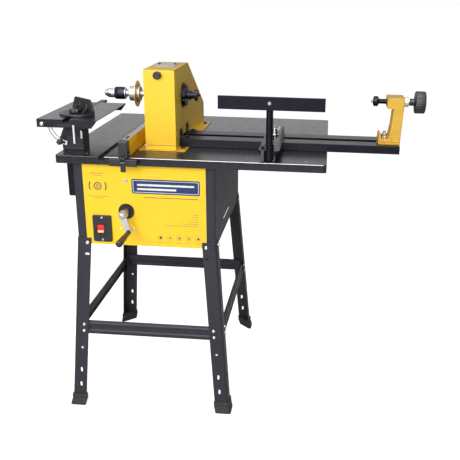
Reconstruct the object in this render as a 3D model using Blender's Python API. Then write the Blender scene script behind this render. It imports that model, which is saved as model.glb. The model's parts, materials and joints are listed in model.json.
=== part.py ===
"""Wood lathe of the bench combination type, as separate closed solids.

A sheet-metal cabinet on four splayed legs carries a flat table.  On the table stand the
headstock, the lathe bed with its tool rest and tailstock, a rip fence and a small side table
with a mitre gauge, opposite the drill chuck on the left end of the spindle.

All sizes below are millimetres in the bench frame: X runs right and Y runs back from the
table's front left corner, and Z is the height above the floor.  finish() moves each piece to
the frame of the model, whose origin is the middle of the whole machine's footprint, in metres.
"""

import math

import bmesh
import bpy
from mathutils import Vector

MM = 0.001
GAP = 0.3

# Whole machine, left to right and front to back
MACHINE_LEFT = -55.0
MACHINE_RIGHT = 1093.0
MACHINE_FRONT = -112.0
MACHINE_BACK = 700.0

# Table
TABLE_LENGTH = 800.0
TABLE_DEPTH = 700.0
TABLE_TOP = 850.0
TABLE_APRON = 24.0
TABLE_SHEET = 2.5
MITRE_SLOT_X = 140.0
MITRE_SLOT_WIDTH = 18.0
MITRE_SLOT_DEPTH = 10.0
BELT_OPENING_Y = (285.0, 420.0)
DECK = TABLE_TOP + GAP

# Cabinet and stand
CABINET_X = 253.5
CABINET_Y = 320.0
CABINET_HALF_X = 216.5
CABINET_HALF_Y = 278.0
CABINET_BOTTOM = 560.0
CABINET_SHEET = 1.5
CABINET_FLANGE = 28.0
LEG_TOP = 580.0
LEG_BOTTOM = 8.0
LEG_SHEET = 2.0
LEG_FLANGE = 45.0
LEG_SPLAY = 44.0
BRACE_BOTTOM = 254.0
BRACE_HEIGHT = 44.0

# Headstock casing
HEAD_LEFT = 246.0
HEAD_RIGHT = 340.0
HEAD_FRONT = 112.0
HEAD_BACK = 605.0
HEAD_TOP = 1090.0
HEAD_TOP_BACK = 324.0
HEAD_REAR_TOP = 919.0
HEAD_SHEET = 2.0
HEAD_KNOB = (290.0, 1075.0)
HEAD_FLANGE = 31.0
HEAD_FLANGE_LEFT = 20.0
HEAD_FLANGE_FRONT = 99.0

# Spindle line
SPINDLE_Y = 235.0
SPINDLE_Z = 1000.0
SHAFT_RADIUS = 9.0
HUB_RADIUS = 23.0
PULLEY_X = 276.0
SPINDLE_PULLEY_RADIUS = 45.0
BELT_DEPTH = 8.0
BELT_HALF_WIDTH = 4.0

# Motor and its lift
MOTOR_Y = 470.0
MOTOR_Z = 700.0
MOTOR_PULLEY_RADIUS = 30.0
MOTOR_RADIUS = 62.0
MOTOR_SHAFT_RADIUS = 8.0
CARRIAGE_X = 296.0
LIFT_X = 195.0
LIFT_Y = 120.0
CRANK_Z = 671.0
CRANK_PIVOT = (212.0, 620.0)

# Switch
SWITCH_X = 113.0
SWITCH_Z = 613.0

# Lathe bed
BED_FRONT = 166.0
BED_BACK = 304.0
BED_LEFT = 300.0
BED_RIGHT = 1020.0
BED_HEIGHT = 25.0
BED_SLOT_HALF = 15.0
BED_SHEET = 2.5
BED_TOP = TABLE_TOP + BED_HEIGHT
CLAMP_LOW = BED_TOP - BED_SHEET - 7.0

# Tool rest
REST_X = 632.0
POST_Y = 22.0
POST_RADIUS = 10.0
REST_BAR_HALF = 152.0
REST_BAR_BOTTOM = 1000.0
REST_BAR_HEIGHT = 38.0
REST_PLATE_TOP = BED_TOP + 8.4
POST_CLAMP_X = REST_X - 16
POST_CLAMP_Z = 894.0

# Tailstock
TAIL_LEFT = 955.0
TAIL_BOLT_X = 975.0
TAIL_HALF_Y = 38.0
TAIL_FOOT_HALF_Y = 52.0
TAIL_SCREW_RADIUS = 8.0
CENTRE_TIP_X = 926.0
HANDWHEEL_RADIUS = 34.0

# Side table
SIDE_LEFT = -55.0
SIDE_RIGHT = 125.0
SIDE_FRONT = 25.0
SIDE_BACK = 340.0
SIDE_TOP = 950.0
SIDE_SLOT_X = 33.0
SIDE_SLOT_WIDTH = 20.0
SIDE_SLOT_DEPTH = 9.0
TILT_X = 24.0
TILT_Z = 930.0
COLUMN_Y = 100.0
COLUMN_X_SPAN = (6.0, 32.0)
COLUMN_Y_SPAN = (78.0, 116.0)
COLUMN_BOTTOM = 703.0
BRACKET_TOP = 905.0
QUADRANT_RADIUS = 58.0
QUADRANT_ARC = (176, 264)
QUADRANT_SLOT = (194, 259)
QUADRANT_FRONT = 64.5
QUADRANT_BACK = 67.5
TILT_KNOB_ANGLE = 245
TILT_KNOB_X = TILT_X + QUADRANT_RADIUS * math.cos(math.radians(TILT_KNOB_ANGLE))
TILT_KNOB_Z = TILT_Z + QUADRANT_RADIUS * math.sin(math.radians(TILT_KNOB_ANGLE))
GAUGE_Y = 110.0
GAUGE_TURN = math.radians(-40)

# Rip fence
FENCE_LEFT = 200.0
FENCE_WIDTH = 22.0
FENCE_TOP = 900.0

# Finishes: base colour, roughness, metallic
FINISHES = {
    "charcoal_paint": ((0.053, 0.051, 0.062), 0.42, 0.0),
    "table_paint": ((0.070, 0.070, 0.078), 0.32, 0.0),
    "yellow_paint": ((0.95, 0.62, 0.03), 0.38, 0.0),
    "cast_yellow": ((0.72, 0.40, 0.03), 0.45, 0.0),
    "black_steel": ((0.018, 0.018, 0.024), 0.35, 0.6),
    "black_plastic": ((0.020, 0.020, 0.024), 0.45, 0.0),
    "rubber": ((0.022, 0.022, 0.028), 0.75, 0.0),
    "bright_steel": ((0.55, 0.55, 0.57), 0.25, 1.0),
    "chrome": ((0.75, 0.75, 0.78), 0.10, 1.0),
    "brass": ((0.70, 0.45, 0.16), 0.30, 1.0),
    "aluminium": ((0.60, 0.60, 0.60), 0.35, 1.0),
    "grey_plastic": ((0.45, 0.44, 0.42), 0.50, 0.0),
    "red_plastic": ((0.55, 0.02, 0.02), 0.35, 0.0),
}

AXES = {"X": (1, 2, 0), "Y": (0, 2, 1), "Z": (0, 1, 2)}


# ---------------------------------------------------------------- outlines

def arc(centre, radius, start, end, steps):
    """Points on an arc, angles in degrees, both ends included."""
    points = []
    for step in range(steps + 1):
        angle = math.radians(start + (end - start) * step / steps)
        points.append((centre[0] + radius * math.cos(angle), centre[1] + radius * math.sin(angle)))
    return points


def circle(centre, radius, steps=24):
    return arc(centre, radius, 0, 360, steps)[:-1]


def rectangle(left, low, right, high):
    return [(left, low), (right, low), (right, high), (left, high)]


def rounded_rectangle(left, low, right, high, radius, steps=4):
    """Outline of a rectangle whose four corners are arcs."""
    return (arc((right - radius, low + radius), radius, -90, 0, steps)
            + arc((right - radius, high - radius), radius, 0, 90, steps)
            + arc((left + radius, high - radius), radius, 90, 180, steps)
            + arc((left + radius, low + radius), radius, 180, 270, steps))


def offset_path(path, distance):
    """Open path moved sideways, to the left of its direction, with mitred corners."""
    moved = []
    for index, point in enumerate(path):
        here = Vector(point)
        before = (here - Vector(path[index - 1])).normalized() if index > 0 else None
        after = (Vector(path[index + 1]) - here).normalized() if index < len(path) - 1 else None
        before = before or after
        after = after or before
        side = (Vector((-before.y, before.x)) + Vector((-after.y, after.x))).normalized()
        reach = distance / side.dot(Vector((-before.y, before.x)))
        moved.append(tuple(here + side * reach))
    return moved


def belt_loop(centre_a, radius_a, centre_b, radius_b, steps=16):
    """Outline of an open belt round two pulleys, the larger one first."""
    across = Vector(centre_b) - Vector(centre_a)
    heading = math.degrees(math.atan2(across.y, across.x))
    lean = math.degrees(math.acos((radius_a - radius_b) / across.length))
    return (arc(centre_a, radius_a, heading + lean, heading + 360 - lean, steps)
            + arc(centre_b, radius_b, heading - lean, heading + lean, steps))


# ---------------------------------------------------------------- solids

def spread(axis, flat, along):
    """A 3-D point from a point in the outline's plane and a place along the axis."""
    place = [0.0, 0.0, 0.0]
    first, second, third = AXES[axis]
    place[first], place[second], place[third] = flat[0], flat[1], along
    return Vector(place)


def skin(rings, capped=True):
    """Closed solid through rings of equal length; the ends are capped or joined."""
    shape = bmesh.new()
    loops = [[shape.verts.new(point) for point in ring] for ring in rings]
    pairs = list(zip(loops, loops[1:]))
    if capped:
        shape.faces.new(loops[0])
        shape.faces.new(loops[-1])
    else:
        pairs.append((loops[-1], loops[0]))
    for low, high in pairs:
        for index in range(len(low)):
            after = (index + 1) % len(low)
            shape.faces.new((low[index], low[after], high[after], high[index]))
    bmesh.ops.recalc_face_normals(shape, faces=shape.faces)
    return shape


def prism(outline, axis, low, high):
    return skin([[spread(axis, point, along) for point in outline] for along in (low, high)])


def box(low, high):
    return prism(rectangle(low[0], low[1], high[0], high[1]), "Z", low[2], high[2])


def ring_prism(outer, inner, axis, low, high):
    """Prism with one through hole; both outlines have the same number of points."""
    corners = ((outer, low), (outer, high), (inner, high), (inner, low))
    rings = [[spread(axis, point, along) for point in outline] for outline, along in corners]
    return skin(rings, capped=False)


def rod(axis, centre, radius, low, high, steps=20):
    return prism(circle(centre, radius, steps), axis, low, high)


def turned(profile, axis, centre, steps=24, bored=False):
    """Solid of revolution.  profile holds (along, radius) pairs.

    A solid piece starts and ends at radius 0; a bored one is a closed loop off the axis.
    """
    shape = bmesh.new()
    rings = []
    for along, radius in profile:
        if radius == 0:
            rings.append([shape.verts.new(spread(axis, centre, along))])
            continue
        rings.append([shape.verts.new(spread(axis, point, along))
                      for point in circle(centre, radius, steps)])
    pairs = list(zip(rings, rings[1:]))
    if bored:
        pairs.append((rings[-1], rings[0]))
    for low, high in pairs:
        for index in range(steps):
            after = (index + 1) % steps
            if len(low) == 1 and len(high) == 1:
                continue
            if len(low) == 1:
                corners = (low[0], high[after], high[index])
            elif len(high) == 1:
                corners = (low[index], low[after], high[0])
            else:
                corners = (low[index], low[after], high[after], high[index])
            shape.faces.new(corners)
    bmesh.ops.recalc_face_normals(shape, faces=shape.faces)
    return shape


def gathered(shapes):
    """All shapes in one mesh, still separate bodies; for use as a cutter."""
    together = bmesh.new()
    for shape in shapes:
        mesh = bpy.data.meshes.new("part")
        shape.to_mesh(mesh)
        shape.free()
        together.from_mesh(mesh)
        bpy.data.meshes.remove(mesh)
    return together


def combined(base, tool, operation):
    """Boolean of two shapes with the exact solver."""
    pair = []
    for shape in (base, tool):
        mesh = bpy.data.meshes.new("operand")
        shape.to_mesh(mesh)
        shape.free()
        helper = bpy.data.objects.new("operand", mesh)
        bpy.context.scene.collection.objects.link(helper)
        pair.append(helper)
    cut = pair[0].modifiers.new("cut", "BOOLEAN")
    cut.operation = operation
    cut.solver = "EXACT"
    cut.object = pair[1]
    evaluated = pair[0].evaluated_get(bpy.context.evaluated_depsgraph_get())
    result = bmesh.new()
    result.from_mesh(evaluated.data)
    for helper in pair:
        mesh = helper.data
        bpy.data.objects.remove(helper)
        bpy.data.meshes.remove(mesh)
    bmesh.ops.remove_doubles(result, verts=result.verts, dist=0.0002)
    return result


def union(base, *others):
    for other in others:
        base = combined(base, other, "UNION")
    return base


def without(base, *cutters):
    return combined(base, gathered(cutters), "DIFFERENCE")


def cut_corners(shape, width, angle=50.0):
    """Bevels the sharp edges of a shape, as a fettled casting has them."""
    sharp = [edge for edge in shape.edges
             if edge.is_manifold and edge.calc_face_angle(0) > math.radians(angle)]
    bmesh.ops.bevel(shape, geom=sharp, offset=width, segments=1, affect="EDGES",
                    clamp_overlap=True)
    return shape


# ---------------------------------------------------------------- objects

def material(name):
    made = bpy.data.materials.get(name)
    if made:
        return made
    colour, roughness, metallic = FINISHES[name]
    made = bpy.data.materials.new(name)
    made.use_nodes = True
    shader = made.node_tree.nodes["Principled BSDF"]
    shader.inputs["Base Color"].default_value = (*colour, 1.0)
    shader.inputs["Roughness"].default_value = roughness
    shader.inputs["Metallic"].default_value = metallic
    made.diffuse_color = (*colour, 1.0)
    return made


def finish(name, shape, finish_name, pivot=(0.0, 0.0, 0.0)):
    """Turns a bench-frame shape into an object whose origin is the pivot."""
    pivot = Vector(pivot)
    middle = Vector(((MACHINE_LEFT + MACHINE_RIGHT) / 2, (MACHINE_FRONT + MACHINE_BACK) / 2, 0.0))
    for vertex in shape.verts:
        vertex.co = (vertex.co - pivot) * MM
    bmesh.ops.recalc_face_normals(shape, faces=shape.faces)
    mesh = bpy.data.meshes.new(name)
    shape.to_mesh(mesh)
    shape.free()
    mesh.shade_smooth()
    mesh.set_sharp_from_angle(angle=math.radians(32))
    piece = bpy.data.objects.new(name, mesh)
    piece.location = (pivot - middle) * MM
    mesh.materials.append(material(finish_name))
    bpy.context.scene.collection.objects.link(piece)
    return piece


# ---------------------------------------------------------------- stand

def splay_at(height):
    """How far a leg stands out from its top position at a height."""
    return LEG_SPLAY * (1 - height / LEG_TOP)


def leg_corner(side_x, side_y, height, outward=0.0):
    """Outer corner of a leg at a height."""
    reach = LEG_SHEET + GAP + splay_at(height) + outward
    return (CABINET_X + side_x * (CABINET_HALF_X + reach),
            CABINET_Y + side_y * (CABINET_HALF_Y + reach))


def angle_outline(width, thickness, radius=7.0):
    """L section from its outer corner, both flanges running along + from it."""
    outer = arc((radius, radius), radius, 270, 180, 4)
    inner = arc((radius, radius), radius - thickness, 180, 270, 4)
    return ([(width, 0.0)] + outer + [(0.0, width), (thickness, width)] + inner
            + [(width, thickness)])


def corner_ring(side_x, side_y, height, outline, outward=0.0):
    corner = leg_corner(side_x, side_y, height, outward)
    return [Vector((corner[0] - side_x * u, corner[1] - side_y * v, height)) for u, v in outline]


def leg(side_x, side_y):
    """Folded angle leg with its bolt holes and slots in both flanges."""
    outline = angle_outline(LEG_FLANGE, LEG_SHEET)
    shape = skin([corner_ring(side_x, side_y, height, outline) for height in (LEG_BOTTOM, LEG_TOP)])
    cutters = []
    for height, across, half_wide, half_high in (
            (206.0, 26.0, 3.5, 3.5), (127.0, 26.0, 3.2, 8.0), (75.0, 26.0, 3.2, 8.0),
            (527.0, 33.0, 7.0, 3.5)):
        corner = leg_corner(side_x, side_y, height)
        radius = min(half_wide, half_high)
        for axis, place, face in (("Y", corner[0] - side_x * across, corner[1]),
                                  ("X", corner[1] - side_y * across, corner[0])):
            hole = rounded_rectangle(place - half_wide, height - half_high,
                                     place + half_wide, height + half_high, radius, 2)
            cutters.append(prism(hole, axis, face - 10, face + 10))
    return without(shape, *cutters)


def foot(side_x, side_y):
    """Flared rubber boot pushed over a leg's lower end."""
    size = LEG_FLANGE + 6
    plan = arc((7, 7), 7, 270, 180, 4) + [(0, size), (11, size), (size, 11), (size, 0)]
    levels = ((0.0, 7.0), (5.0, 6.5), (26.0, 2.6), (28.0, 4.2), (38.0, 3.0))
    rings = [corner_ring(side_x, side_y, height, plan, outward) for height, outward in levels]
    pocket = angle_outline(LEG_FLANGE + GAP, LEG_SHEET + 2 * GAP)
    hollow = skin([corner_ring(side_x, side_y, height, pocket, GAP)
                   for height in (LEG_BOTTOM - GAP, 45.0)])
    return without(skin(rings), hollow)


def brace_outline():
    """Pressed rail section: depth behind the leg flange against height, two outward ribs."""
    high = BRACE_HEIGHT
    front = [(11, high), (3.4, high), (3.4, high - 4), (0.4, high - 6), (0.4, high - 13),
             (3.4, high - 15), (3.4, 15), (0.4, 13), (0.4, 6), (3.4, 4), (3.4, 0), (11, 0)]
    back = [(11, 2), (5.4, 2), (5.4, 5), (2.4, 7), (2.4, 12), (5.4, 14),
            (5.4, high - 14), (2.4, high - 12), (2.4, high - 7), (5.4, high - 5),
            (5.4, high - 2), (11, high - 2)]
    return front + back


def brace(along_x, side):
    """Rail between two legs; its section leans with the splay of the legs."""
    inset = 16.0 if along_x else 31.0
    centre = CABINET_X if along_x else CABINET_Y
    half_length = (CABINET_HALF_X if along_x else CABINET_HALF_Y) + splay_at(BRACE_BOTTOM) - inset
    rings = []
    for end in (-1, 1):
        ring = []
        for depth, rise in brace_outline():
            height = BRACE_BOTTOM + rise
            inner = splay_at(height) - depth
            if along_x:
                ring.append(Vector((centre + end * half_length,
                                    CABINET_Y + side * (CABINET_HALF_Y + inner), height)))
            else:
                ring.append(Vector((CABINET_X + side * (CABINET_HALF_X + inner),
                                    centre + end * half_length, height)))
        rings.append(ring)
    return skin(rings)


def build_stand():
    corners = {"front_left": (-1, -1), "front_right": (1, -1),
               "rear_left": (-1, 1), "rear_right": (1, 1)}
    for corner, (side_x, side_y) in corners.items():
        finish("leg_" + corner, leg(side_x, side_y), "charcoal_paint")
        finish("foot_" + corner, foot(side_x, side_y), "rubber")
    for name, along_x, side in (("brace_front", True, -1), ("brace_rear", True, 1),
                                ("brace_left", False, -1), ("brace_right", False, 1)):
        finish(name, brace(along_x, side), "charcoal_paint")


# ---------------------------------------------------------------- cabinet and table

def cabinet_side(side):
    """Side sheet folded round to the front and the back, where it shows as corner posts."""
    sheet = CABINET_SHEET
    radius = 4.0
    front = CABINET_Y - CABINET_HALF_Y
    back = CABINET_Y + CABINET_HALF_Y
    edge = CABINET_HALF_X
    inner = edge - CABINET_FLANGE

    def fold(inset, bend):
        return ([(inner, front + inset)]
                + arc((edge - radius, front + radius), bend, 270, 360, 3)
                + arc((edge - radius, back - radius), bend, 0, 90, 3)
                + [(inner, back - inset)])

    outline = fold(0.0, radius) + fold(sheet, radius - sheet)[::-1]
    plan = [(CABINET_X + side * across, depth) for across, depth in outline]
    shape = prism(plan, "Z", CABINET_BOTTOM, TABLE_TOP - TABLE_SHEET - GAP)
    if side < 0:
        return shape
    vent = box((CABINET_X + edge - 10, 210, 601), (CABINET_X + edge + 10, 350, 607))
    return without(shape, vent)


def cabinet_end(depth, holes):
    """Front or rear sheet between the folded side sheets, ending below the mitre slot."""
    half = CABINET_HALF_X - CABINET_FLANGE - GAP
    top = TABLE_TOP - MITRE_SLOT_DEPTH - TABLE_SHEET - GAP
    plate = box((CABINET_X - half, depth, CABINET_BOTTOM),
                (CABINET_X + half, depth + CABINET_SHEET, top))
    return without(plate, *holes) if holes else plate


def table_top():
    """Sheet table with a folded apron, a sunk mitre slot and the belt opening."""
    top = TABLE_TOP - TABLE_SHEET
    sheet = TABLE_SHEET
    outer = prism(rounded_rectangle(0, 0, TABLE_LENGTH, TABLE_DEPTH, 10), "Z",
                  TABLE_TOP - TABLE_APRON, TABLE_TOP)
    inner = prism(rounded_rectangle(sheet, sheet, TABLE_LENGTH - sheet, TABLE_DEPTH - sheet, 8),
                  "Z", TABLE_TOP - TABLE_APRON - 5, top)
    half = MITRE_SLOT_WIDTH / 2
    floor = TABLE_TOP - MITRE_SLOT_DEPTH
    channel = box((MITRE_SLOT_X - half - sheet, 1, floor - sheet),
                  (MITRE_SLOT_X + half + sheet, TABLE_DEPTH - 1, TABLE_TOP - 1))
    groove = box((MITRE_SLOT_X - half, -5, floor),
                 (MITRE_SLOT_X + half, TABLE_DEPTH + 5, TABLE_TOP + 5))
    belt_opening = box((PULLEY_X - 14, BELT_OPENING_Y[0], top - 5),
                       (PULLEY_X + 14, BELT_OPENING_Y[1], TABLE_TOP + 5))
    column_opening = box((COLUMN_X_SPAN[0] - 1.5, COLUMN_Y_SPAN[0] - 1.5, top - 5),
                         (COLUMN_X_SPAN[1] + 1.5, COLUMN_Y_SPAN[1] + 1.5, TABLE_TOP + 5))
    tray = union(without(outer, inner), channel)
    return without(tray, groove, belt_opening, column_opening)


def build_cabinet():
    front = CABINET_Y - CABINET_HALF_Y
    crank_hole = rod("Y", (LIFT_X, CRANK_Z), 22.0, front - 5, front + 5, 32)
    switch_hole = box((SWITCH_X - 16, front - 5, SWITCH_Z - 24),
                      (SWITCH_X + 16, front + 5, SWITCH_Z + 24))
    finish("cabinet_front_panel", cabinet_end(front, (crank_hole, switch_hole)), "yellow_paint")
    rear = CABINET_Y + CABINET_HALF_Y - CABINET_SHEET
    finish("cabinet_rear_panel", cabinet_end(rear, ()), "charcoal_paint")
    finish("cabinet_left_panel", cabinet_side(-1), "charcoal_paint")
    finish("cabinet_right_panel", cabinet_side(1), "charcoal_paint")
    finish("table_top", table_top(), "table_paint")


# ---------------------------------------------------------------- headstock

def head_path():
    """Outer line of the casing cover, from the foot of the front wall over to the back."""
    corner = 5.0
    return ([(HEAD_FRONT, DECK)]
            + arc((HEAD_FRONT + corner, HEAD_TOP - corner), corner, 180, 90, 2)
            + [(HEAD_TOP_BACK, HEAD_TOP), (HEAD_BACK, HEAD_REAR_TOP), (HEAD_BACK, DECK)])


def head_cover():
    """One folded strip: front wall, top, slope and back, with a foot flange at the front."""
    outer = head_path()
    inner = offset_path(outer, -HEAD_SHEET)
    foot_flange = [(HEAD_FLANGE_FRONT, DECK + HEAD_SHEET), (HEAD_FLANGE_FRONT, DECK)]
    outline = [(HEAD_FRONT, DECK + HEAD_SHEET)] + outer[1:] + inner[::-1] + foot_flange[::-1]
    shape = prism(outline, "X", HEAD_LEFT, HEAD_RIGHT)
    knob_hole = rod("Y", HEAD_KNOB, 4.4, HEAD_FRONT - 5, HEAD_FRONT + 8, 16)
    return without(shape, knob_hole)


def head_side(inside, outside, flanges, notch):
    """Side plate just inside the cover, with foot flanges turned outwards."""
    outline = offset_path(head_path(), -HEAD_SHEET - GAP)
    plate = prism(outline, "X", inside, outside)
    feet = [box((low_x, low_y, DECK), (high_x, high_y, DECK + HEAD_SHEET))
            for low_x, high_x, low_y, high_y in flanges]
    cutters = [rod("X", (SPINDLE_Y, SPINDLE_Z), 22.0, inside - 5, outside + 5, 32)]
    if notch:
        cutters.append(box((inside - 5, BED_FRONT - 2, DECK - 5),
                           (outside + 50, BED_BACK + 2, BED_TOP + 2)))
    return without(union(plate, *feet), *cutters)


def spindle_bearing(flange_low, flange_high, hub_low, hub_high):
    """Flanged bearing seated in a side plate."""
    low, high = min(flange_low, hub_low), max(flange_high, hub_high)
    bore = SHAFT_RADIUS + GAP
    if flange_low < hub_low:
        outside = [(low, 27.0), (flange_high, 27.0), (flange_high, 21.7), (high, 21.7)]
    else:
        outside = [(low, 21.7), (flange_low, 21.7), (flange_low, 27.0), (high, 27.0)]
    profile = [(low, bore)] + outside + [(high, bore)]
    return turned(profile, "X", (SPINDLE_Y, SPINDLE_Z), 20, bored=True)


def build_headstock():
    sheet = HEAD_SHEET
    left, right = HEAD_LEFT - HEAD_FLANGE_LEFT, HEAD_RIGHT + HEAD_FLANGE
    front = HEAD_FRONT + 3
    left_flanges = ((left, HEAD_LEFT + 1, front, HEAD_BACK - 5),
                    (left, HEAD_LEFT - 0.5, HEAD_FLANGE_FRONT, front + 1))
    right_flanges = ((HEAD_RIGHT - 1, right, front, 158),
                     (HEAD_RIGHT + 0.5, right, HEAD_FLANGE_FRONT, front + 1),
                     (HEAD_RIGHT - 1, right, BED_BACK + 6, 577))
    finish("head_cover", head_cover(), "yellow_paint")
    finish("head_left_plate", head_side(HEAD_LEFT, HEAD_LEFT + sheet, left_flanges, False),
           "yellow_paint")
    finish("head_right_plate", head_side(HEAD_RIGHT - sheet, HEAD_RIGHT, right_flanges, True),
           "yellow_paint")
    finish("spindle_bearing_left", spindle_bearing(HEAD_LEFT - 6, HEAD_LEFT - GAP, HEAD_LEFT - GAP,
                                                   HEAD_LEFT + 7), "bright_steel")
    finish("spindle_bearing_right", spindle_bearing(HEAD_RIGHT - 8, HEAD_RIGHT - sheet - GAP,
                                                    HEAD_RIGHT - sheet - GAP, HEAD_RIGHT + GAP),
           "bright_steel")
    knob = turned([(94, 0), (94, 9.5), (96, 12), (108, 12), (HEAD_FRONT - GAP, 10.5),
                   (HEAD_FRONT - GAP, 4), (121, 4), (121, 0)], "Y", HEAD_KNOB, 20)
    finish("head_cover_knob", knob, "black_plastic", (HEAD_KNOB[0], HEAD_FRONT, HEAD_KNOB[1]))


# ---------------------------------------------------------------- spindle line

def spindle_shaft():
    """Spindle with the disc's hub and the driven pulley between the side plates."""
    shaft, pulley = SHAFT_RADIUS, SPINDLE_PULLEY_RADIUS
    groove = pulley - BELT_DEPTH - 0.6
    half = BELT_HALF_WIDTH + 0.5
    return turned([(147.5, 0), (147.5, shaft), (171.5, shaft), (171.5, 21.5), (173, HUB_RADIUS),
                   (204.5, HUB_RADIUS), (206, 21.5), (206, shaft), (PULLEY_X - 12, shaft),
                   (PULLEY_X - 12, 16), (PULLEY_X - 8, 16), (PULLEY_X - 8, pulley),
                   (PULLEY_X - half, pulley), (PULLEY_X - half, groove),
                   (PULLEY_X + half, groove), (PULLEY_X + half, pulley), (PULLEY_X + 8, pulley),
                   (PULLEY_X + 8, shaft), (364, shaft), (364, 0)],
                  "X", (SPINDLE_Y, SPINDLE_Z))


def drive_faceplate():
    """Driving plate with a notched rim and a four-pronged drive centre on its hub."""
    bore = SHAFT_RADIUS + GAP
    plate = turned([(341.2, bore), (341.2, 38.5), (344.5, 38.5), (344.5, 33), (352, 33), (352, 11),
                    (358, 11), (358, 14.5), (366, 14.5), (366, 10.5), (377, 10.5), (377, 17),
                    (379, 19), (386, 19), (388, 5), (397, 0), (364.5, 0), (364.5, bore)],
                   "X", (SPINDLE_Y, SPINDLE_Z), 24, bored=True)
    notches = []
    for turn in range(6):
        angle = math.radians(60 * turn + 15)
        spot = (SPINDLE_Y + 34 * math.cos(angle), SPINDLE_Z + 34 * math.sin(angle))
        notches.append(rod("X", spot, 7.0, 344.8, 356, 8))
    for turn in range(4):
        angle = math.radians(90 * turn + 45)
        spot = (SPINDLE_Y + 19.5 * math.cos(angle), SPINDLE_Z + 19.5 * math.sin(angle))
        notches.append(rod("X", spot, 8.0, 372, 392, 8))
    return without(plate, *notches)


def build_spindle():
    centre = (SPINDLE_Y, SPINDLE_Z)
    pivot = (PULLEY_X, SPINDLE_Y, SPINDLE_Z)
    bore = SHAFT_RADIUS + GAP
    finish("spindle_shaft", spindle_shaft(), "bright_steel", pivot)
    chuck = turned([(91, 6.8), (91, 7.6), (92, 8.6), (105, 14.6), (124.6, 14.6), (155.4, 14.6),
                    (155.4, 17), (158, 17), (160, 14), (160, bore), (147, bore), (147, 0),
                    (130, 0), (130, 6.8)], "X", centre, 28, bored=True)
    finish("chuck_body", chuck, "chrome", (147, SPINDLE_Y, SPINDLE_Z))
    sleeve = turned([(123.6, 15), (123.6, 18), (125, 19.3), (153.5, 19.3), (155.1, 18),
                     (155.1, 15)], "X", centre, 28, bored=True)
    finish("chuck_sleeve", sleeve, "black_steel", (139, SPINDLE_Y, SPINDLE_Z))
    bore = HUB_RADIUS + GAP
    disc = turned([(192.5, bore), (192.5, 41), (196, 41), (196, bore)], "X", centre, 32, bored=True)
    finish("spindle_disc", disc, "brass", (194, SPINDLE_Y, SPINDLE_Z))
    finish("drive_faceplate", drive_faceplate(), "black_steel", (345, SPINDLE_Y, SPINDLE_Z))


# ---------------------------------------------------------------- motor, belt and lift

def motor_carriage():
    """Plate that carries the motor, with an arm and nut on the lift screw."""
    plate = box((CARRIAGE_X, 106, 650), (CARRIAGE_X + 6, 545, 755))
    arm = box((LIFT_X - 17, 106, 692), (CARRIAGE_X + 1, 134, 718))
    shaft_hole = rod("X", (MOTOR_Y, MOTOR_Z), 20.0, CARRIAGE_X - 5, CARRIAGE_X + 11)
    nut_bore = rod("Z", (LIFT_X, LIFT_Y), 8.0 + GAP, 680, 730)
    return without(union(plate, arm), shaft_hole, nut_bore)


def motor_housing():
    bore = MOTOR_SHAFT_RADIUS + GAP
    radius = MOTOR_RADIUS
    low = CARRIAGE_X + 6 + GAP
    return turned([(low, bore), (low, radius - 6), (low + 4, radius), (low + 18, radius),
                   (low + 18, radius - 4), (low + 118, radius - 4), (low + 118, radius),
                   (low + 140, radius - 3), (low + 150, radius - 14), (low + 150, 0),
                   (low + 30, 0), (low + 30, bore)], "X", (MOTOR_Y, MOTOR_Z), 20, bored=True)


def motor_rotor():
    shaft, pulley = MOTOR_SHAFT_RADIUS, MOTOR_PULLEY_RADIUS
    groove = pulley - BELT_DEPTH - 0.6
    half = BELT_HALF_WIDTH + 0.5
    return turned([(PULLEY_X - 11, 0), (PULLEY_X - 11, 14), (PULLEY_X - 8, 14),
                   (PULLEY_X - 8, pulley), (PULLEY_X - half, pulley), (PULLEY_X - half, groove),
                   (PULLEY_X + half, groove), (PULLEY_X + half, pulley), (PULLEY_X + 8, pulley),
                   (PULLEY_X + 8, shaft), (327, shaft), (327, 0)],
                  "X", (MOTOR_Y, MOTOR_Z), 20)


def crank_arm():
    """Crank shaft with its bevel gear and the flat arm out to the grip."""
    centre = (LIFT_X, CRANK_Z)
    shaft = turned([(-8, 0), (-8, 8), (96, 8), (96, 23.5), (104, 15.5), (104, 0)], "Y", centre, 20)
    direction = Vector((CRANK_PIVOT[0] - LIFT_X, CRANK_PIVOT[1] - CRANK_Z))
    heading = math.degrees(math.atan2(direction.y, direction.x))
    strip = (arc(centre, 10, heading + 90, heading + 270, 8)
             + arc(CRANK_PIVOT, 8, heading - 90, heading + 90, 8))
    pin = rod("Y", CRANK_PIVOT, 4.0, -104, -5, 16)
    return union(shaft, prism(strip, "Y", -6.0, -1.0), pin)


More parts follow.
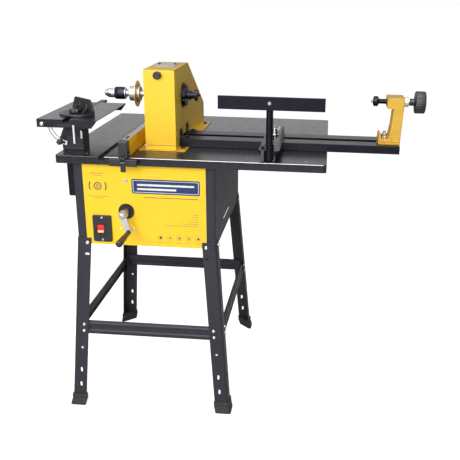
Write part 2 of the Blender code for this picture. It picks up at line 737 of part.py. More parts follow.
def build_drive():
    pulley_line = ((SPINDLE_Y, SPINDLE_Z), (MOTOR_Y, MOTOR_Z))
    loops = []
    for inset in (0.0, BELT_DEPTH):
        loops.append(belt_loop(pulley_line[0], SPINDLE_PULLEY_RADIUS - inset,
                               pulley_line[1], MOTOR_PULLEY_RADIUS - inset))
    belt = ring_prism(loops[0], loops[1], "X",
                      PULLEY_X - BELT_HALF_WIDTH, PULLEY_X + BELT_HALF_WIDTH)
    finish("drive_belt", belt, "rubber")
    finish("motor_carriage", motor_carriage(), "charcoal_paint", (LIFT_X, LIFT_Y, MOTOR_Z))
    finish("motor_housing", motor_housing(), "aluminium", (CARRIAGE_X, MOTOR_Y, MOTOR_Z))
    finish("motor_rotor", motor_rotor(), "bright_steel", (PULLEY_X, MOTOR_Y, MOTOR_Z))

    screw = turned([(604.5, 0), (604.5, 10), (609, 10), (609, 8), (647, 8), (647, 23.5),
                    (655, 15.5), (655, 8), (790, 8), (790, 0)], "Z", (LIFT_X, LIFT_Y), 20)
    stem = rod("Z", (LIFT_X, LIFT_Y), 5.0, 596, 606, 20)
    finish("lift_screw", union(screw, stem), "bright_steel", (LIFT_X, LIFT_Y, CRANK_Z))
    tab_front = CABINET_Y - CABINET_HALF_Y + CABINET_SHEET + GAP
    tab = box((LIFT_X - 30, tab_front, 600), (LIFT_X + 30, tab_front + 3, 705))
    shelf = box((LIFT_X - 30, tab_front, 600), (LIFT_X + 30, LIFT_Y + 20, 604))
    holes = (rod("Y", (LIFT_X, CRANK_Z), 8.0 + GAP, tab_front - 5, tab_front + 8),
             rod("Z", (LIFT_X, LIFT_Y), 5.0 + GAP, 590, 610, 20))
    finish("lift_bracket", without(union(tab, shelf), *holes), "black_steel")

    finish("crank_arm", crank_arm(), "bright_steel", (LIFT_X, 0, CRANK_Z))
    grip = turned([(-112, 0), (-112, 8), (-109, 10), (-60, 8.6), (-12, 6.5), (-8.5, 7.5),
                   (-6 - GAP, 7.5), (-6 - GAP, 4 + GAP), (-105, 4 + GAP), (-105, 0)],
                  "Y", CRANK_PIVOT, 20)
    finish("crank_grip", grip, "black_plastic", (CRANK_PIVOT[0], -6, CRANK_PIVOT[1]))


# ---------------------------------------------------------------- switch

def build_switch():
    panel = CABINET_Y - CABINET_HALF_Y
    plate = prism(rounded_rectangle(SWITCH_X - 25, SWITCH_Z - 43, SWITCH_X + 34, SWITCH_Z + 43, 5),
                  "Y", panel - 6, panel - GAP)
    body = box((SWITCH_X - 15, panel - 3, SWITCH_Z - 23), (SWITCH_X + 15, panel + 32, SWITCH_Z + 23))
    well = box((SWITCH_X - 11, panel - 12, SWITCH_Z - 16), (SWITCH_X + 11, panel + 26, SWITCH_Z + 16))
    finish("switch_plate", without(union(plate, body), well), "black_plastic")
    middle = SWITCH_Z
    rocker = prism([(panel - 9, middle + 13), (panel - 6.5, middle), (panel - 11, middle - 12.5),
                    (panel, middle - 12.5), (panel + 6, middle - 7), (panel + 6, middle + 7),
                    (panel, middle + 13)], "X", SWITCH_X - 10.5, SWITCH_X + 10.5)
    finish("switch_rocker", rocker, "red_plastic", (SWITCH_X, panel, middle))


# ---------------------------------------------------------------- lathe bed

def bed_rail(front):
    """Channel rail, open towards the slot between the rails."""
    sheet = BED_SHEET
    outer = BED_FRONT if front else BED_BACK
    inward = 1 if front else -1
    slot_edge = SPINDLE_Y - inward * BED_SLOT_HALF
    low, high = DECK, BED_TOP
    outline = [(outer, low), (outer, high), (slot_edge, high), (slot_edge, high - sheet),
               (outer + inward * sheet, high - sheet), (outer + inward * sheet, low + sheet),
               (slot_edge, low + sheet), (slot_edge, low)]
    return prism(outline, "X", BED_LEFT, BED_RIGHT)


def build_bed():
    finish("bed_front_rail", bed_rail(True), "charcoal_paint")
    finish("bed_rear_rail", bed_rail(False), "charcoal_paint")


# ---------------------------------------------------------------- tool rest

def clamp_plate(x):
    """Plate inside the bed rails with a raised guide that fills the slot; bored for its bolt."""
    low = CLAMP_LOW
    plate = box((x - 20, SPINDLE_Y - 38, low), (x + 20, SPINDLE_Y + 38, BED_TOP - BED_SHEET - GAP))
    guide = box((x - 20, SPINDLE_Y - BED_SLOT_HALF + GAP, low),
                (x + 20, SPINDLE_Y + BED_SLOT_HALF - GAP, BED_TOP - 1))
    return without(union(plate, guide), rod("Z", (x, SPINDLE_Y), 5.3, low - 5, BED_TOP + 5, 20))


def tool_rest_bracket():
    """Slotted plate lying on the bed, with the post socket and its clamp lug at the front."""
    under = BED_TOP + 0.4
    plate = prism(rounded_rectangle(REST_X - 31, 10, REST_X + 30, 285, 10), "Z",
                  under, REST_PLATE_TOP)
    socket = rod("Z", (REST_X, POST_Y), 14.0, 852.5, 902, 28)
    lug = box((REST_X - 24, 9.5, 886), (REST_X - 6, 22, 902))
    slot = prism(rounded_rectangle(REST_X - 7, 100, REST_X + 7, 252, 7), "Z", under - 5,
                 REST_PLATE_TOP + 5)
    bore = rod("Z", (REST_X, POST_Y), POST_RADIUS + GAP, 840, 910, 28)
    screw_hole = rod("Y", (POST_CLAMP_X, POST_CLAMP_Z), 4.3, 0, 17, 16)
    top = REST_PLATE_TOP
    rib = prism([(60, top - 1), (285, top - 1), (285, top + 17), (262, top + 23), (235, top + 20)],
                "X", REST_X + 20, REST_X + 26)
    return without(union(plate, socket, lug, rib), slot, bore, screw_hole)


def wing_bolt():
    """Bolt through the slotted plate, with two wings on its hub."""
    x, y = REST_X, SPINDLE_Y
    hub = turned([(BED_TOP - 10, 0), (BED_TOP - 10, 5), (REST_PLATE_TOP + GAP, 5),
                  (REST_PLATE_TOP + GAP, 13), (REST_PLATE_TOP + 3, 13), (REST_PLATE_TOP + 3, 9),
                  (REST_PLATE_TOP + 21, 7), (REST_PLATE_TOP + 21, 4), (REST_PLATE_TOP + 29, 4),
                  (REST_PLATE_TOP + 29, 0)], "Z", (x, y), 20)
    wings = []
    for side in (-1, 1):
        low = REST_PLATE_TOP + 13
        outline = [(x + side * 5, low), (x + side * 14, low + 4), (x + side * 18, low + 13),
                   (x + side * 14, low + 16), (x + side * 10, low + 10), (x + side * 5, low + 7)]
        wings.append(prism(outline, "Y", y - 2, y + 2))
    return union(hub, *wings)


def build_tool_rest():
    finish("rest_clamp_plate", clamp_plate(REST_X), "bright_steel", (REST_X, SPINDLE_Y, BED_TOP))
    finish("rest_wing_bolt", wing_bolt(), "bright_steel", (REST_X, SPINDLE_Y, BED_TOP))
    finish("tool_rest_bracket", tool_rest_bracket(), "black_steel", (REST_X, POST_Y, BED_TOP))
    post_axis = (REST_X, POST_Y)
    post = rod("Z", post_axis, POST_RADIUS, 874, REST_BAR_BOTTOM - GAP, 28)
    finish("tool_rest_post", post, "black_steel", (*post_axis, 902))
    bar = box((REST_X + 5 - REST_BAR_HALF, 5.5, REST_BAR_BOTTOM),
              (REST_X + 5 + REST_BAR_HALF, 11.5, REST_BAR_BOTTOM + REST_BAR_HEIGHT))
    saddle = box((REST_X - 9, 10.5, REST_BAR_BOTTOM),
                 (REST_X + 9, POST_Y + 9, REST_BAR_BOTTOM + 24))
    finish("tool_rest_bar", union(bar, saddle), "charcoal_paint", (*post_axis, REST_BAR_BOTTOM))
    clamp = (POST_CLAMP_X, POST_CLAMP_Z)
    lever = union(rod("Y", clamp, 9.0, -2, 8), rod("Y", clamp, 4.0, 5, 16, 16),
                  box((POST_CLAMP_X - 6.5, 0, 853.5), (POST_CLAMP_X + 2.5, 6, 890)))
    finish("post_clamp_lever", lever, "grey_plastic", (POST_CLAMP_X, 8, POST_CLAMP_Z))


# ---------------------------------------------------------------- tailstock

def tailstock_casting():
    """Foot with a pocket for the clamp nut, a leaning column and the screw barrel."""
    foot_low = BED_TOP + GAP
    foot_right = 1022
    pocket = [(988, 905), (986, 889), (964.5, 889), (963, 903)]
    outline = ([(TAIL_LEFT, foot_low), (foot_right, foot_low), (1028, 1016), (976, 1016), (976, 983),
                (996, 983), (992, 925)] + pocket + [(TAIL_LEFT + 1, 903)])
    casting = prism(outline, "Y", SPINDLE_Y - TAIL_HALF_Y, SPINDLE_Y + TAIL_HALF_Y)
    cut_corners(casting, 1.5)
    foot = box((TAIL_LEFT, SPINDLE_Y - TAIL_FOOT_HALF_Y, foot_low),
               (foot_right, SPINDLE_Y + TAIL_FOOT_HALF_Y, foot_low + 7))
    cut_corners(foot, 1.5)
    casting = union(casting, foot)
    screw_bore = rod("X", (SPINDLE_Y, SPINDLE_Z), TAIL_SCREW_RADIUS + GAP, 970, 1035)
    bolt_bore = rod("Z", (TAIL_BOLT_X, SPINDLE_Y), 5.3, foot_low - 5, 900, 20)
    return without(casting, screw_bore, bolt_bore)


def tailstock_screw():
    """Threaded screw with the neck and the fluted handwheel on its right end."""
    wheel = HANDWHEEL_RADIUS
    screw = turned([(951.3, 0), (951.3, 7.7), (975, 7.7), (1045.3, 7.7), (1045.3, 11), (1060, 11),
                    (1061, wheel - 2), (1063, wheel), (1091, wheel - 1), (1093, wheel - 3),
                    (1093, 12), (1089, 10), (1089, 0)], "X", (SPINDLE_Y, SPINDLE_Z), 30)
    flutes = []
    count = 20
    for turn in range(count):
        angle = 2 * math.pi * turn / count
        reach = wheel + 1.6
        spot = (SPINDLE_Y + reach * math.cos(angle), SPINDLE_Z + reach * math.sin(angle))
        flutes.append(rod("X", spot, 2.8, 1055, 1100, 8))
    return without(screw, *flutes)


def build_tailstock():
    centre = (SPINDLE_Y, SPINDLE_Z)
    finish("tailstock_casting", tailstock_casting(), "cast_yellow", (TAIL_BOLT_X, SPINDLE_Y, BED_TOP))
    bolt = turned([(CLAMP_LOW, 0), (CLAMP_LOW, 24), (CLAMP_LOW + 6.7, 24), (CLAMP_LOW + 6.7, 5),
                   (909, 5), (909, 0)], "Z", (TAIL_BOLT_X, SPINDLE_Y), 20)
    nut = prism(circle((TAIL_BOLT_X, SPINDLE_Y), 9, 6), "Z", 889.3, 902)
    finish("tailstock_clamp_bolt", union(bolt, nut), "bright_steel", (TAIL_BOLT_X, SPINDLE_Y, 890))
    housing = turned([(CENTRE_TIP_X, 0), (933, 6.5), (933.5, 12), (936.5, 15.5), (947, 15.5),
                      (950.9, 10), (950.9, 0)], "X", centre, 24)
    finish("live_centre", housing, "black_steel", (940, SPINDLE_Y, SPINDLE_Z))
    finish("tailstock_screw", tailstock_screw(), "black_steel", (1000, SPINDLE_Y, SPINDLE_Z))
    ring = ring_prism(circle(centre, 15, 24), circle(centre, TAIL_SCREW_RADIUS + GAP, 24), "X",
                      1028.4, 1043)
    finish("tailstock_lock_ring", ring, "bright_steel", (1035, SPINDLE_Y, SPINDLE_Z))


# ---------------------------------------------------------------- side table

def side_table():
    """Small tilting table: two aprons, a mitre slot, hinge lugs and the arm of the tilt knob."""
    sheet = TABLE_SHEET
    apron_low = SIDE_TOP - TABLE_APRON
    outline = [(SIDE_LEFT, apron_low), (SIDE_RIGHT - 17, apron_low),
               (SIDE_RIGHT, SIDE_TOP - sheet), (SIDE_RIGHT, SIDE_TOP), (SIDE_LEFT, SIDE_TOP)]
    body = prism(outline, "Y", SIDE_FRONT, SIDE_BACK)
    hollow = box((SIDE_LEFT - 5, SIDE_FRONT + sheet, SIDE_TOP - 40),
                 (SIDE_RIGHT + 5, SIDE_BACK - sheet, SIDE_TOP - sheet))
    half = SIDE_SLOT_WIDTH / 2
    floor = SIDE_TOP - SIDE_SLOT_DEPTH
    channel = box((SIDE_SLOT_X - half - 2, SIDE_FRONT + 1, floor - 1.0),
                  (SIDE_SLOT_X + half + 2, SIDE_BACK - 1, SIDE_TOP - 1))
    groove = box((SIDE_SLOT_X - half, SIDE_FRONT - 5, floor),
                 (SIDE_SLOT_X + half, SIDE_BACK + 5, SIDE_TOP + 5))
    arm_front, arm_back = 68, 71
    lugs = [box((TILT_X - 10, front, TILT_Z - 10), (TILT_X + 10, back, SIDE_TOP - 1))
            for front, back in ((arm_front, COLUMN_Y_SPAN[0] - 0.5), (COLUMN_Y + 22, COLUMN_Y + 27))]
    cheek = box((8, arm_front, 893), (65, arm_back, SIDE_TOP - 2))
    arm = prism(arc((TILT_X, TILT_Z), 9, TILT_KNOB_ANGLE + 90, TILT_KNOB_ANGLE + 270, 8)
                + arc((TILT_KNOB_X, TILT_KNOB_Z), 8, TILT_KNOB_ANGLE - 90, TILT_KNOB_ANGLE + 90, 8),
                "Y", arm_front, arm_back)
    pin_hole = rod("Y", (TILT_X, TILT_Z), 5.3, COLUMN_Y - 40, COLUMN_Y + 40, 20)
    stud_hole = rod("Y", (TILT_KNOB_X, TILT_KNOB_Z), 2.8, 60, 80, 14)
    shape = union(without(body, hollow), channel, *lugs, cheek, arm)
    screw_holes = [rod("Y", (place, SIDE_TOP - 14), 3.0, SIDE_FRONT - 5, SIDE_FRONT + 6, 12)
                   for place in (SIDE_LEFT + 15, SIDE_LEFT + 27)]
    return without(shape, groove, pin_hole, stud_hole, *screw_holes)


def side_table_column():
    """Sliding column with the tilt pin on top and the slotted quadrant beside it."""
    centre = (TILT_X, TILT_Z)
    bar = box((COLUMN_X_SPAN[0], COLUMN_Y_SPAN[0], COLUMN_BOTTOM),
              (COLUMN_X_SPAN[1], COLUMN_Y_SPAN[1], TILT_Z))
    head = rod("Y", centre, 8.9, COLUMN_Y_SPAN[0] + 1, COLUMN_Y + 18)
    pin = rod("Y", centre, 5.0, 68.5, COLUMN_Y + 30, 20)
    plate = box((-41, 79, TILT_Z - 11), (28, 82.5, TILT_Z + 3))
    spacer = box((-41, QUADRANT_FRONT, TILT_Z - 8), (-27, 81, TILT_Z + 3.5))
    line = QUADRANT_RADIUS
    band = (arc(centre, line + 7, *QUADRANT_ARC, 12)
            + arc(centre, line - 7, *reversed(QUADRANT_ARC), 12))
    slot = (arc(centre, line + 3, *QUADRANT_SLOT, 10)
            + arc(centre, line - 3, *reversed(QUADRANT_SLOT), 10))
    quadrant = prism(band, "Y", QUADRANT_FRONT, QUADRANT_BACK)
    shape = union(bar, head, pin, plate, spacer, quadrant)
    return without(shape, prism(slot, "Y", QUADRANT_FRONT - 4, QUADRANT_BACK + 4))


def build_side_table():
    hinge = (TILT_X, COLUMN_Y, TILT_Z)
    finish("side_table", side_table(), "table_paint", hinge)
    box_outer = box((0, 72, DECK), (65, 128, BRACKET_TOP))
    box_bore = box((COLUMN_X_SPAN[0] - GAP, COLUMN_Y_SPAN[0] - GAP, DECK - 5),
                   (COLUMN_X_SPAN[1] + GAP, COLUMN_Y_SPAN[1] + GAP, BRACKET_TOP + 5))
    finish("side_table_bracket", without(box_outer, box_bore), "charcoal_paint")
    finish("side_table_column", side_table_column(), "black_steel", hinge)
    face = QUADRANT_FRONT - GAP
    knob = turned([(44, 0), (44, 6), (46, 9), (58, 9), (face, 7), (face, 2.5), (71.5, 2.5), (71.5, 0)],
                  "Y", (TILT_KNOB_X, TILT_KNOB_Z), 20)
    finish("tilt_knob", knob, "black_plastic", (TILT_KNOB_X, 60, TILT_KNOB_Z))


# ---------------------------------------------------------------- mitre gauge

def gauge_point(across, behind):
    """Bench point from a place measured across and behind the turned gauge head."""
    cosine, sine = math.cos(GAUGE_TURN), math.sin(GAUGE_TURN)
    return (SIDE_SLOT_X + across * cosine - behind * sine, GAUGE_Y + across * sine + behind * cosine)


def gauge_head():
    """Half-round base with the upright work plate, turned as it is left set."""
    low = SIDE_TOP + GAP
    rim = [gauge_point(across, behind) for across, behind in
           arc((0, 18), 62, 200, 340, 14) + [(58, 32), (-58, 32)]]
    base = prism(rim, "Z", low, low + 6)
    plate_low = [gauge_point(across, behind) for across, behind in rectangle(-58, 25, 58, 32)]
    plate_high = [gauge_point(across, behind) for across, behind in rectangle(-41, 25, 41, 32)]
    levels = ((plate_low, low + 1), (plate_low, low + 12), (plate_high, low + 47))
    plate = skin([[Vector((x, y, height)) for x, y in ring] for ring, height in levels])
    bore = rod("Z", (SIDE_SLOT_X, GAUGE_Y), 3.3, low - 5, low + 12, 16)
    return without(union(base, plate), bore)


def build_mitre_gauge():
    floor = SIDE_TOP - SIDE_SLOT_DEPTH + GAP
    half = SIDE_SLOT_WIDTH / 2 - GAP
    bar = box((SIDE_SLOT_X - half, 88, floor), (SIDE_SLOT_X + half, 400, SIDE_TOP - GAP))
    bore = rod("Z", (SIDE_SLOT_X, GAUGE_Y), 3.3, floor - 5, SIDE_TOP + 5, 16)
    pivot = (SIDE_SLOT_X, GAUGE_Y, SIDE_TOP)
    finish("mitre_gauge_bar", without(bar, bore), "black_steel", pivot)
    finish("mitre_gauge_head", gauge_head(), "black_plastic", pivot)
    top = SIDE_TOP + 6 + 2 * GAP
    knob = turned([(floor + 2, 0), (floor + 2, 3), (top, 3), (top, 15), (top + 2, 19.5),
                   (top + 10, 19), (top + 12, 16), (top + 12, 0)], "Z", (SIDE_SLOT_X, GAUGE_Y), 24)
    finish("mitre_gauge_knob", knob, "black_plastic", pivot)


# ---------------------------------------------------------------- rip fence

def build_fence():
    right = FENCE_LEFT + FENCE_WIDTH
    middle = FENCE_LEFT + FENCE_WIDTH / 2
    outer = rectangle(FENCE_LEFT, DECK + GAP, right, FENCE_TOP)
    inner = rectangle(FENCE_LEFT + 2, DECK + GAP + 2, right - 2, FENCE_TOP - 2)
    beam = ring_prism(outer, inner, "Y", 8.0, 650)
    head = union(box((middle - 14, -18, DECK + GAP), (middle + 14, 9.0, FENCE_TOP + 1)),
                 box((middle - 8, -24, 836), (middle + 8, -0.6, DECK + 5)),
                 box((middle - 41, -24, 829), (middle + 41, -0.6, 849)))
    lever_slot = box((middle - 7.3, -40, 822), (middle + 7.3, -14, 846))
    pin = rod("X", (-20, 838), 2.5, middle - 9, middle + 9, 14)
    fence = union(without(head, lever_slot), pin, beam)
    finish("rip_fence", fence, "yellow_paint", (middle, 0, DECK))
    blade = union(box((middle - 7, -24.5, 812), (middle + 7, -18.5, 838)),
                  rod("X", (-20, 838), 5.5, middle - 7, middle + 7, 18))
    pin_hole = rod("X", (-20, 838), 2.8, middle - 12, middle + 12, 14)
    finish("fence_lever", without(blade, pin_hole), "black_plastic", (middle, -20, 838))


def main():
    for old in list(bpy.data.objects):
        bpy.data.objects.remove(old)
    build_stand()
    build_cabinet()
    build_headstock()
    build_spindle()
    build_drive()
    build_switch()
    build_bed()
    build_tool_rest()
    build_tailstock()
    build_side_table()
    build_mitre_gauge()
    build_fence()


main()
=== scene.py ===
"""Looks of the wood lathe: finishes, fasteners and the small parts that the CAD leaves out.

Shapes are built in bench millimetres: X runs right and Y runs back from the table's front
left corner, Z is the height above the floor.  ORIGIN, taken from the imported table, moves them
to the frame of the model, which is in metres.
"""

import json
import math

import bmesh
import bpy
from mathutils import Matrix, Vector


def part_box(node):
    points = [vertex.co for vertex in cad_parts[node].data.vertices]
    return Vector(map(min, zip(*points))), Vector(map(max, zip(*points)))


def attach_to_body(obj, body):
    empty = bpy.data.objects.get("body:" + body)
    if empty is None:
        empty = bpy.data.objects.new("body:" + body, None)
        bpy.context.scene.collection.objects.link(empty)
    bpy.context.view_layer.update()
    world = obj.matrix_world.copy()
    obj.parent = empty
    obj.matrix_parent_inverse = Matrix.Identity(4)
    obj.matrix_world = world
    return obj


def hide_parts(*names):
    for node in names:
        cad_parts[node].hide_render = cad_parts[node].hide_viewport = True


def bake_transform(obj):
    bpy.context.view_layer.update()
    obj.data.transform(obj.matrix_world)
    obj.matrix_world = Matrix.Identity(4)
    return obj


MM = 0.001
AXES = {"X": (1, 2, 0), "Y": (0, 2, 1), "Z": (0, 1, 2)}
FRONT, BACK, RIGHT, UP = (0, -1, 0), (0, 1, 0), (1, 0, 0), (0, 0, 1)

# Centres as (y, z) for the spindle, (x, z) for what is on the front, (x, y) for the gauge's pivot.
SPINDLE = (235.0, 1000.0)
CRANK = (195.0, 671.0)
SWITCH = (113.0, 613.0)
DIAL = (110.0, 748.0)
TILT = (24.0, 930.0)
GAUGE = (33.0, 110.0)
GAUGE_TURN = math.radians(-40)

LEG_FLANGE = 45.0
PROUD = 0.05
PRINT_LAYER = 0.18

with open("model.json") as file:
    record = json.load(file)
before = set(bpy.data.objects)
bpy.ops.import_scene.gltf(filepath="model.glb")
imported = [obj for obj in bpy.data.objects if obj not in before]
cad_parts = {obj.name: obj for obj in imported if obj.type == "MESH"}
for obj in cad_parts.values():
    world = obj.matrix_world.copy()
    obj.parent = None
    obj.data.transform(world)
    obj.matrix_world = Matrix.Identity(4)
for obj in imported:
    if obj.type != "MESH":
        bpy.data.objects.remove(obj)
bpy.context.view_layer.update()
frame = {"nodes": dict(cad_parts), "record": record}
table_low, table_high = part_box("table_top")
ORIGIN = Vector((table_low.x, table_low.y, 0.0))
SLOTS = {row["node"]: row["material_slot"] for row in frame["record"]["subparts"]}
BODIES = {node: body for body, members in frame["record"]["behaviour"]["bodies"].items()
          for node in members}


def span(node):
    """Lowest and highest corner of a CAD node, in bench millimetres."""
    low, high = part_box(node)
    return (low - ORIGIN) / MM, (high - ORIGIN) / MM


def centred(node, axis):
    """Middle of a CAD node looked at along an axis."""
    low, high = span(node)
    first, second, _ = AXES[axis]
    return (low[first] + high[first]) / 2, (low[second] + high[second]) / 2


FACE = span("cabinet_front_panel")[0].y


# ---- outlines

def around(centre, radius, angle):
    """Point at a radius from a centre, angle in degrees."""
    turn = math.radians(angle)
    return centre[0] + radius * math.cos(turn), centre[1] + radius * math.sin(turn)


def arc(centre, radius, start, end, steps):
    """Points on an arc, both ends included."""
    return [around(centre, radius, start + (end - start) * step / steps)
            for step in range(steps + 1)]


def circle(centre, radius, steps=32):
    return arc(centre, radius, 0, 360, steps)[:-1]


def tick(centre, angle, near, far, half):
    """Short bar along a spoke of a circle, twice the half wide."""
    spoke = Vector(around((0, 0), 1, angle))
    side = Vector((-spoke.y, spoke.x)) * half
    return [tuple(Vector(centre) + spoke * reach + side * sign)
            for reach, sign in ((near, 1), (far, 1), (far, -1), (near, -1))]


def rectangle(left, low, right, high):
    return [(left, low), (right, low), (right, high), (left, high)]


def rounded_rectangle(left, low, right, high, radius, steps=6):
    """Outline of a rectangle whose four corners are arcs."""
    return (arc((right - radius, low + radius), radius, -90, 0, steps)
            + arc((right - radius, high - radius), radius, 0, 90, steps)
            + arc((left + radius, high - radius), radius, 90, 180, steps)
            + arc((left + radius, low + radius), radius, 180, 270, steps))


# ---- solids

def spread(axis, flat, along):
    """A 3-D point from a point in the outline's plane and a place along the axis."""
    place = [0.0, 0.0, 0.0]
    first, second, third = AXES[axis]
    place[first], place[second], place[third] = flat[0], flat[1], along
    return Vector(place)


def skin(rings, capped=True):
    """Closed solid through rings of equal length; the ends are capped or joined."""
    shape = bmesh.new()
    loops = [[shape.verts.new(point) for point in ring] for ring in rings]
    pairs = list(zip(loops, loops[1:]))
    if capped:
        shape.faces.new(loops[0])
        shape.faces.new(loops[-1])
    else:
        pairs.append((loops[-1], loops[0]))
    for low, high in pairs:
        for index in range(len(low)):
            after = (index + 1) % len(low)
            shape.faces.new((low[index], low[after], high[after], high[index]))
    bmesh.ops.recalc_face_normals(shape, faces=shape.faces)
    return shape


def prism(outline, axis, low, high):
    return skin([[spread(axis, point, along) for point in outline] for along in (low, high)])


def box(low, high):
    return prism(rectangle(low[0], low[1], high[0], high[1]), "Z", low[2], high[2])


def ring_prism(outer, inner, axis, low, high):
    """Prism with one through hole; both outlines have the same number of points."""
    corners = ((outer, low), (outer, high), (inner, high), (inner, low))
    rings = [[spread(axis, point, along) for point in outline] for outline, along in corners]
    return skin(rings, capped=False)


def turned(profile, axis, centre, steps=48, flutes=0, bored=False, base=0.0):
    """Solid of revolution from (along, radius) or (along, radius, flute depth) rows.

    Places along the axis count from the base.  A solid piece starts and ends at a small radius
    and is capped; a bored one is a closed loop.
    """
    rings = []
    for along, radius, *flute in profile:
        depth = flute[0] if flute else 0.0
        ring = []
        for step in range(steps):
            wave = 0.5 - 0.5 * math.cos(2 * math.pi * flutes * step / steps)
            point = around(centre, radius - depth * wave, 360 * step / steps)
            ring.append(spread(axis, point, base + along))
        rings.append(ring)
    return skin(rings, capped=not bored)


def threaded(axis, centre, radius, low, high, pitch, depth, steps=24):
    """Rod with a helical thread."""
    rings = []
    count = int((high - low) / pitch * 4)
    for row in range(count + 1):
        along = low + (high - low) * row / count
        ring = []
        for step in range(steps):
            phase = (along / pitch + step / steps) % 1.0
            reach = radius - depth * (1 - abs(2 * phase - 1))
            ring.append(spread(axis, around(centre, reach, 360 * step / steps), along))
        rings.append(ring)
    return skin(rings)


def mesh_of(name, shape):
    """Mesh data of a shape, which is used up."""
    mesh = bpy.data.meshes.new(name)
    shape.to_mesh(mesh)
    shape.free()
    return mesh


def linked(name, data):
    """New object in the scene."""
    made = bpy.data.objects.new(name, data)
    bpy.context.scene.collection.objects.link(made)
    return made


def gathered(*shapes):
    """All shapes in one, as separate shells."""
    together = bmesh.new()
    for shape in shapes:
        mesh = mesh_of("shell", shape)
        together.from_mesh(mesh)
        bpy.data.meshes.remove(mesh)
    return together


def without(base, *cutters):
    """Boolean difference with the exact solver."""
    kept, removed = [linked("operand", mesh_of("operand", shape))
                     for shape in (base, gathered(*cutters))]
    cut = kept.modifiers.new("cut", "BOOLEAN")
    cut.operation = "DIFFERENCE"
    cut.solver = "EXACT"
    cut.object = removed
    result = bmesh.new()
    result.from_mesh(kept.evaluated_get(bpy.context.evaluated_depsgraph_get()).data)
    for helper in (kept, removed):
        mesh = helper.data
        bpy.data.objects.remove(helper)
        bpy.data.meshes.remove(mesh)
    return result


# ---- materials

class Surface:
    """One node material: a Principled shader fed by procedural textures in object space."""

    def __init__(self, name, roughness, metallic=0.0, **settings):
        self.material = bpy.data.materials.new(name)
        self.material.use_nodes = True
        self.tree = self.material.node_tree
        self.shader = self.tree.nodes["Principled BSDF"]
        self.shader.inputs["Roughness"].default_value = roughness
        self.shader.inputs["Metallic"].default_value = metallic
        for socket, value in settings.items():
            self.shader.inputs[socket.replace("_", " ")].default_value = value
        self.place = self.node("ShaderNodeTexCoord").outputs["Object"]

    def node(self, kind, links=None, **settings):
        made = self.tree.nodes.new(kind)
        for key, value in settings.items():
            setattr(made, key, value)
        for key, value in (links or {}).items():
            if isinstance(value, bpy.types.NodeSocket):
                self.tree.links.new(value, made.inputs[key])
            else:
                made.inputs[key].default_value = value
        return made

    def stretched(self, scale, offset=(0.0, 0.0, 0.0)):
        """Object coordinates scaled differently along each axis."""
        mapping = self.node("ShaderNodeMapping", {"Vector": self.place, "Scale": scale,
                                                  "Location": offset})
        return mapping.outputs["Vector"]

    def noise(self, scale, detail=2.0, vector=None):
        made = self.node("ShaderNodeTexNoise", {"Vector": vector or self.place, "Scale": scale,
                                                "Detail": detail})
        return made.outputs["Fac"]

    def colours(self, factor, *stops):
        """Base colour read from a ramp of (position, colour) stops."""
        made = self.node("ShaderNodeValToRGB", {"Fac": factor})
        points = made.color_ramp.elements
        while len(points) < len(stops):
            points.new(0.5)
        for point, (position, colour) in zip(points, stops):
            point.position = position
            point.color = (*colour, 1.0)
        self.tree.links.new(made.outputs["Color"], self.shader.inputs["Base Color"])

    def mottled(self, colour, contrast, factor, *positions):
        """Darker, plain and lighter versions of a colour along a texture."""
        versions = [tuple(min(part * share, 1.0) for part in colour)
                    for share in (1 - contrast, 1.0, 1 + contrast)]
        self.colours(factor, *zip(positions, versions))

    def roughness(self, factor, low, high):
        made = self.node("ShaderNodeMapRange", {"Value": factor, "To Min": low, "To Max": high})
        self.tree.links.new(made.outputs["Result"], self.shader.inputs["Roughness"])

    def bumps(self, *layers):
        """Stacks height layers of (factor, strength, distance in mm) on the normal."""
        normal = None
        for factor, strength, distance in layers:
            links = {"Height": factor, "Strength": strength, "Distance": distance * MM}
            if normal:
                links["Normal"] = normal
            normal = self.node("ShaderNodeBump", links).outputs["Normal"]
        self.tree.links.new(normal, self.shader.inputs["Normal"])


def paint(name, colour, roughness, grain=500.0, depth=0.05, mottle=0.05, strength=0.25, **settings):
    """Sprayed or powder-coated metal: cloudy tone, orange peel and a few rubbed patches."""
    made = Surface(name, roughness, **settings)
    made.mottled(colour, mottle, made.noise(9.0, 4.0), 0.25, 0.5, 0.75)
    made.roughness(made.noise(28.0, 3.0), roughness - 0.06, roughness + 0.07)
    made.bumps((made.noise(grain, 3.0), strength, depth), (made.noise(60.0, 1.0), 0.05, 0.3))
    return made.material


def steel(name, colour, roughness, lines, mottle=0.12, depth=0.02):
    """Plated or ground steel with fine marks along the direction in which lines is small."""
    made = Surface(name, roughness, 1.0)
    marks = made.noise(1.0, 2.0, made.stretched(lines))
    made.mottled(colour, mottle, made.noise(70.0, 4.0), 0.3, 0.5, 0.7)
    made.roughness(marks, roughness - 0.07, roughness + 0.12)
    made.bumps((marks, 0.25, depth))
    return made.material


def turned_metal(name, colour, roughness, pitch):
    """Metal faced on a lathe: fine rings about the spindle line, slight tarnish."""
    made = Surface(name, roughness, 1.0)
    offset = -(ORIGIN + Vector((0.0, *SPINDLE)) * MM)
    rings = made.node("ShaderNodeTexWave", {"Vector": made.stretched((1.0, 1.0, 1.0), offset),
                                            "Scale": 1.0 / (pitch * MM * 2 * math.pi),
                                            "Distortion": 0.6, "Detail": 2.0},
                      wave_type="RINGS", rings_direction="X").outputs["Fac"]
    made.mottled(colour, 0.07, made.noise(90.0, 4.0), 0.3, 0.55, 0.75)
    made.roughness(rings, roughness - 0.05, roughness + 0.10)
    made.bumps((rings, 0.15, 0.02))
    return made.material


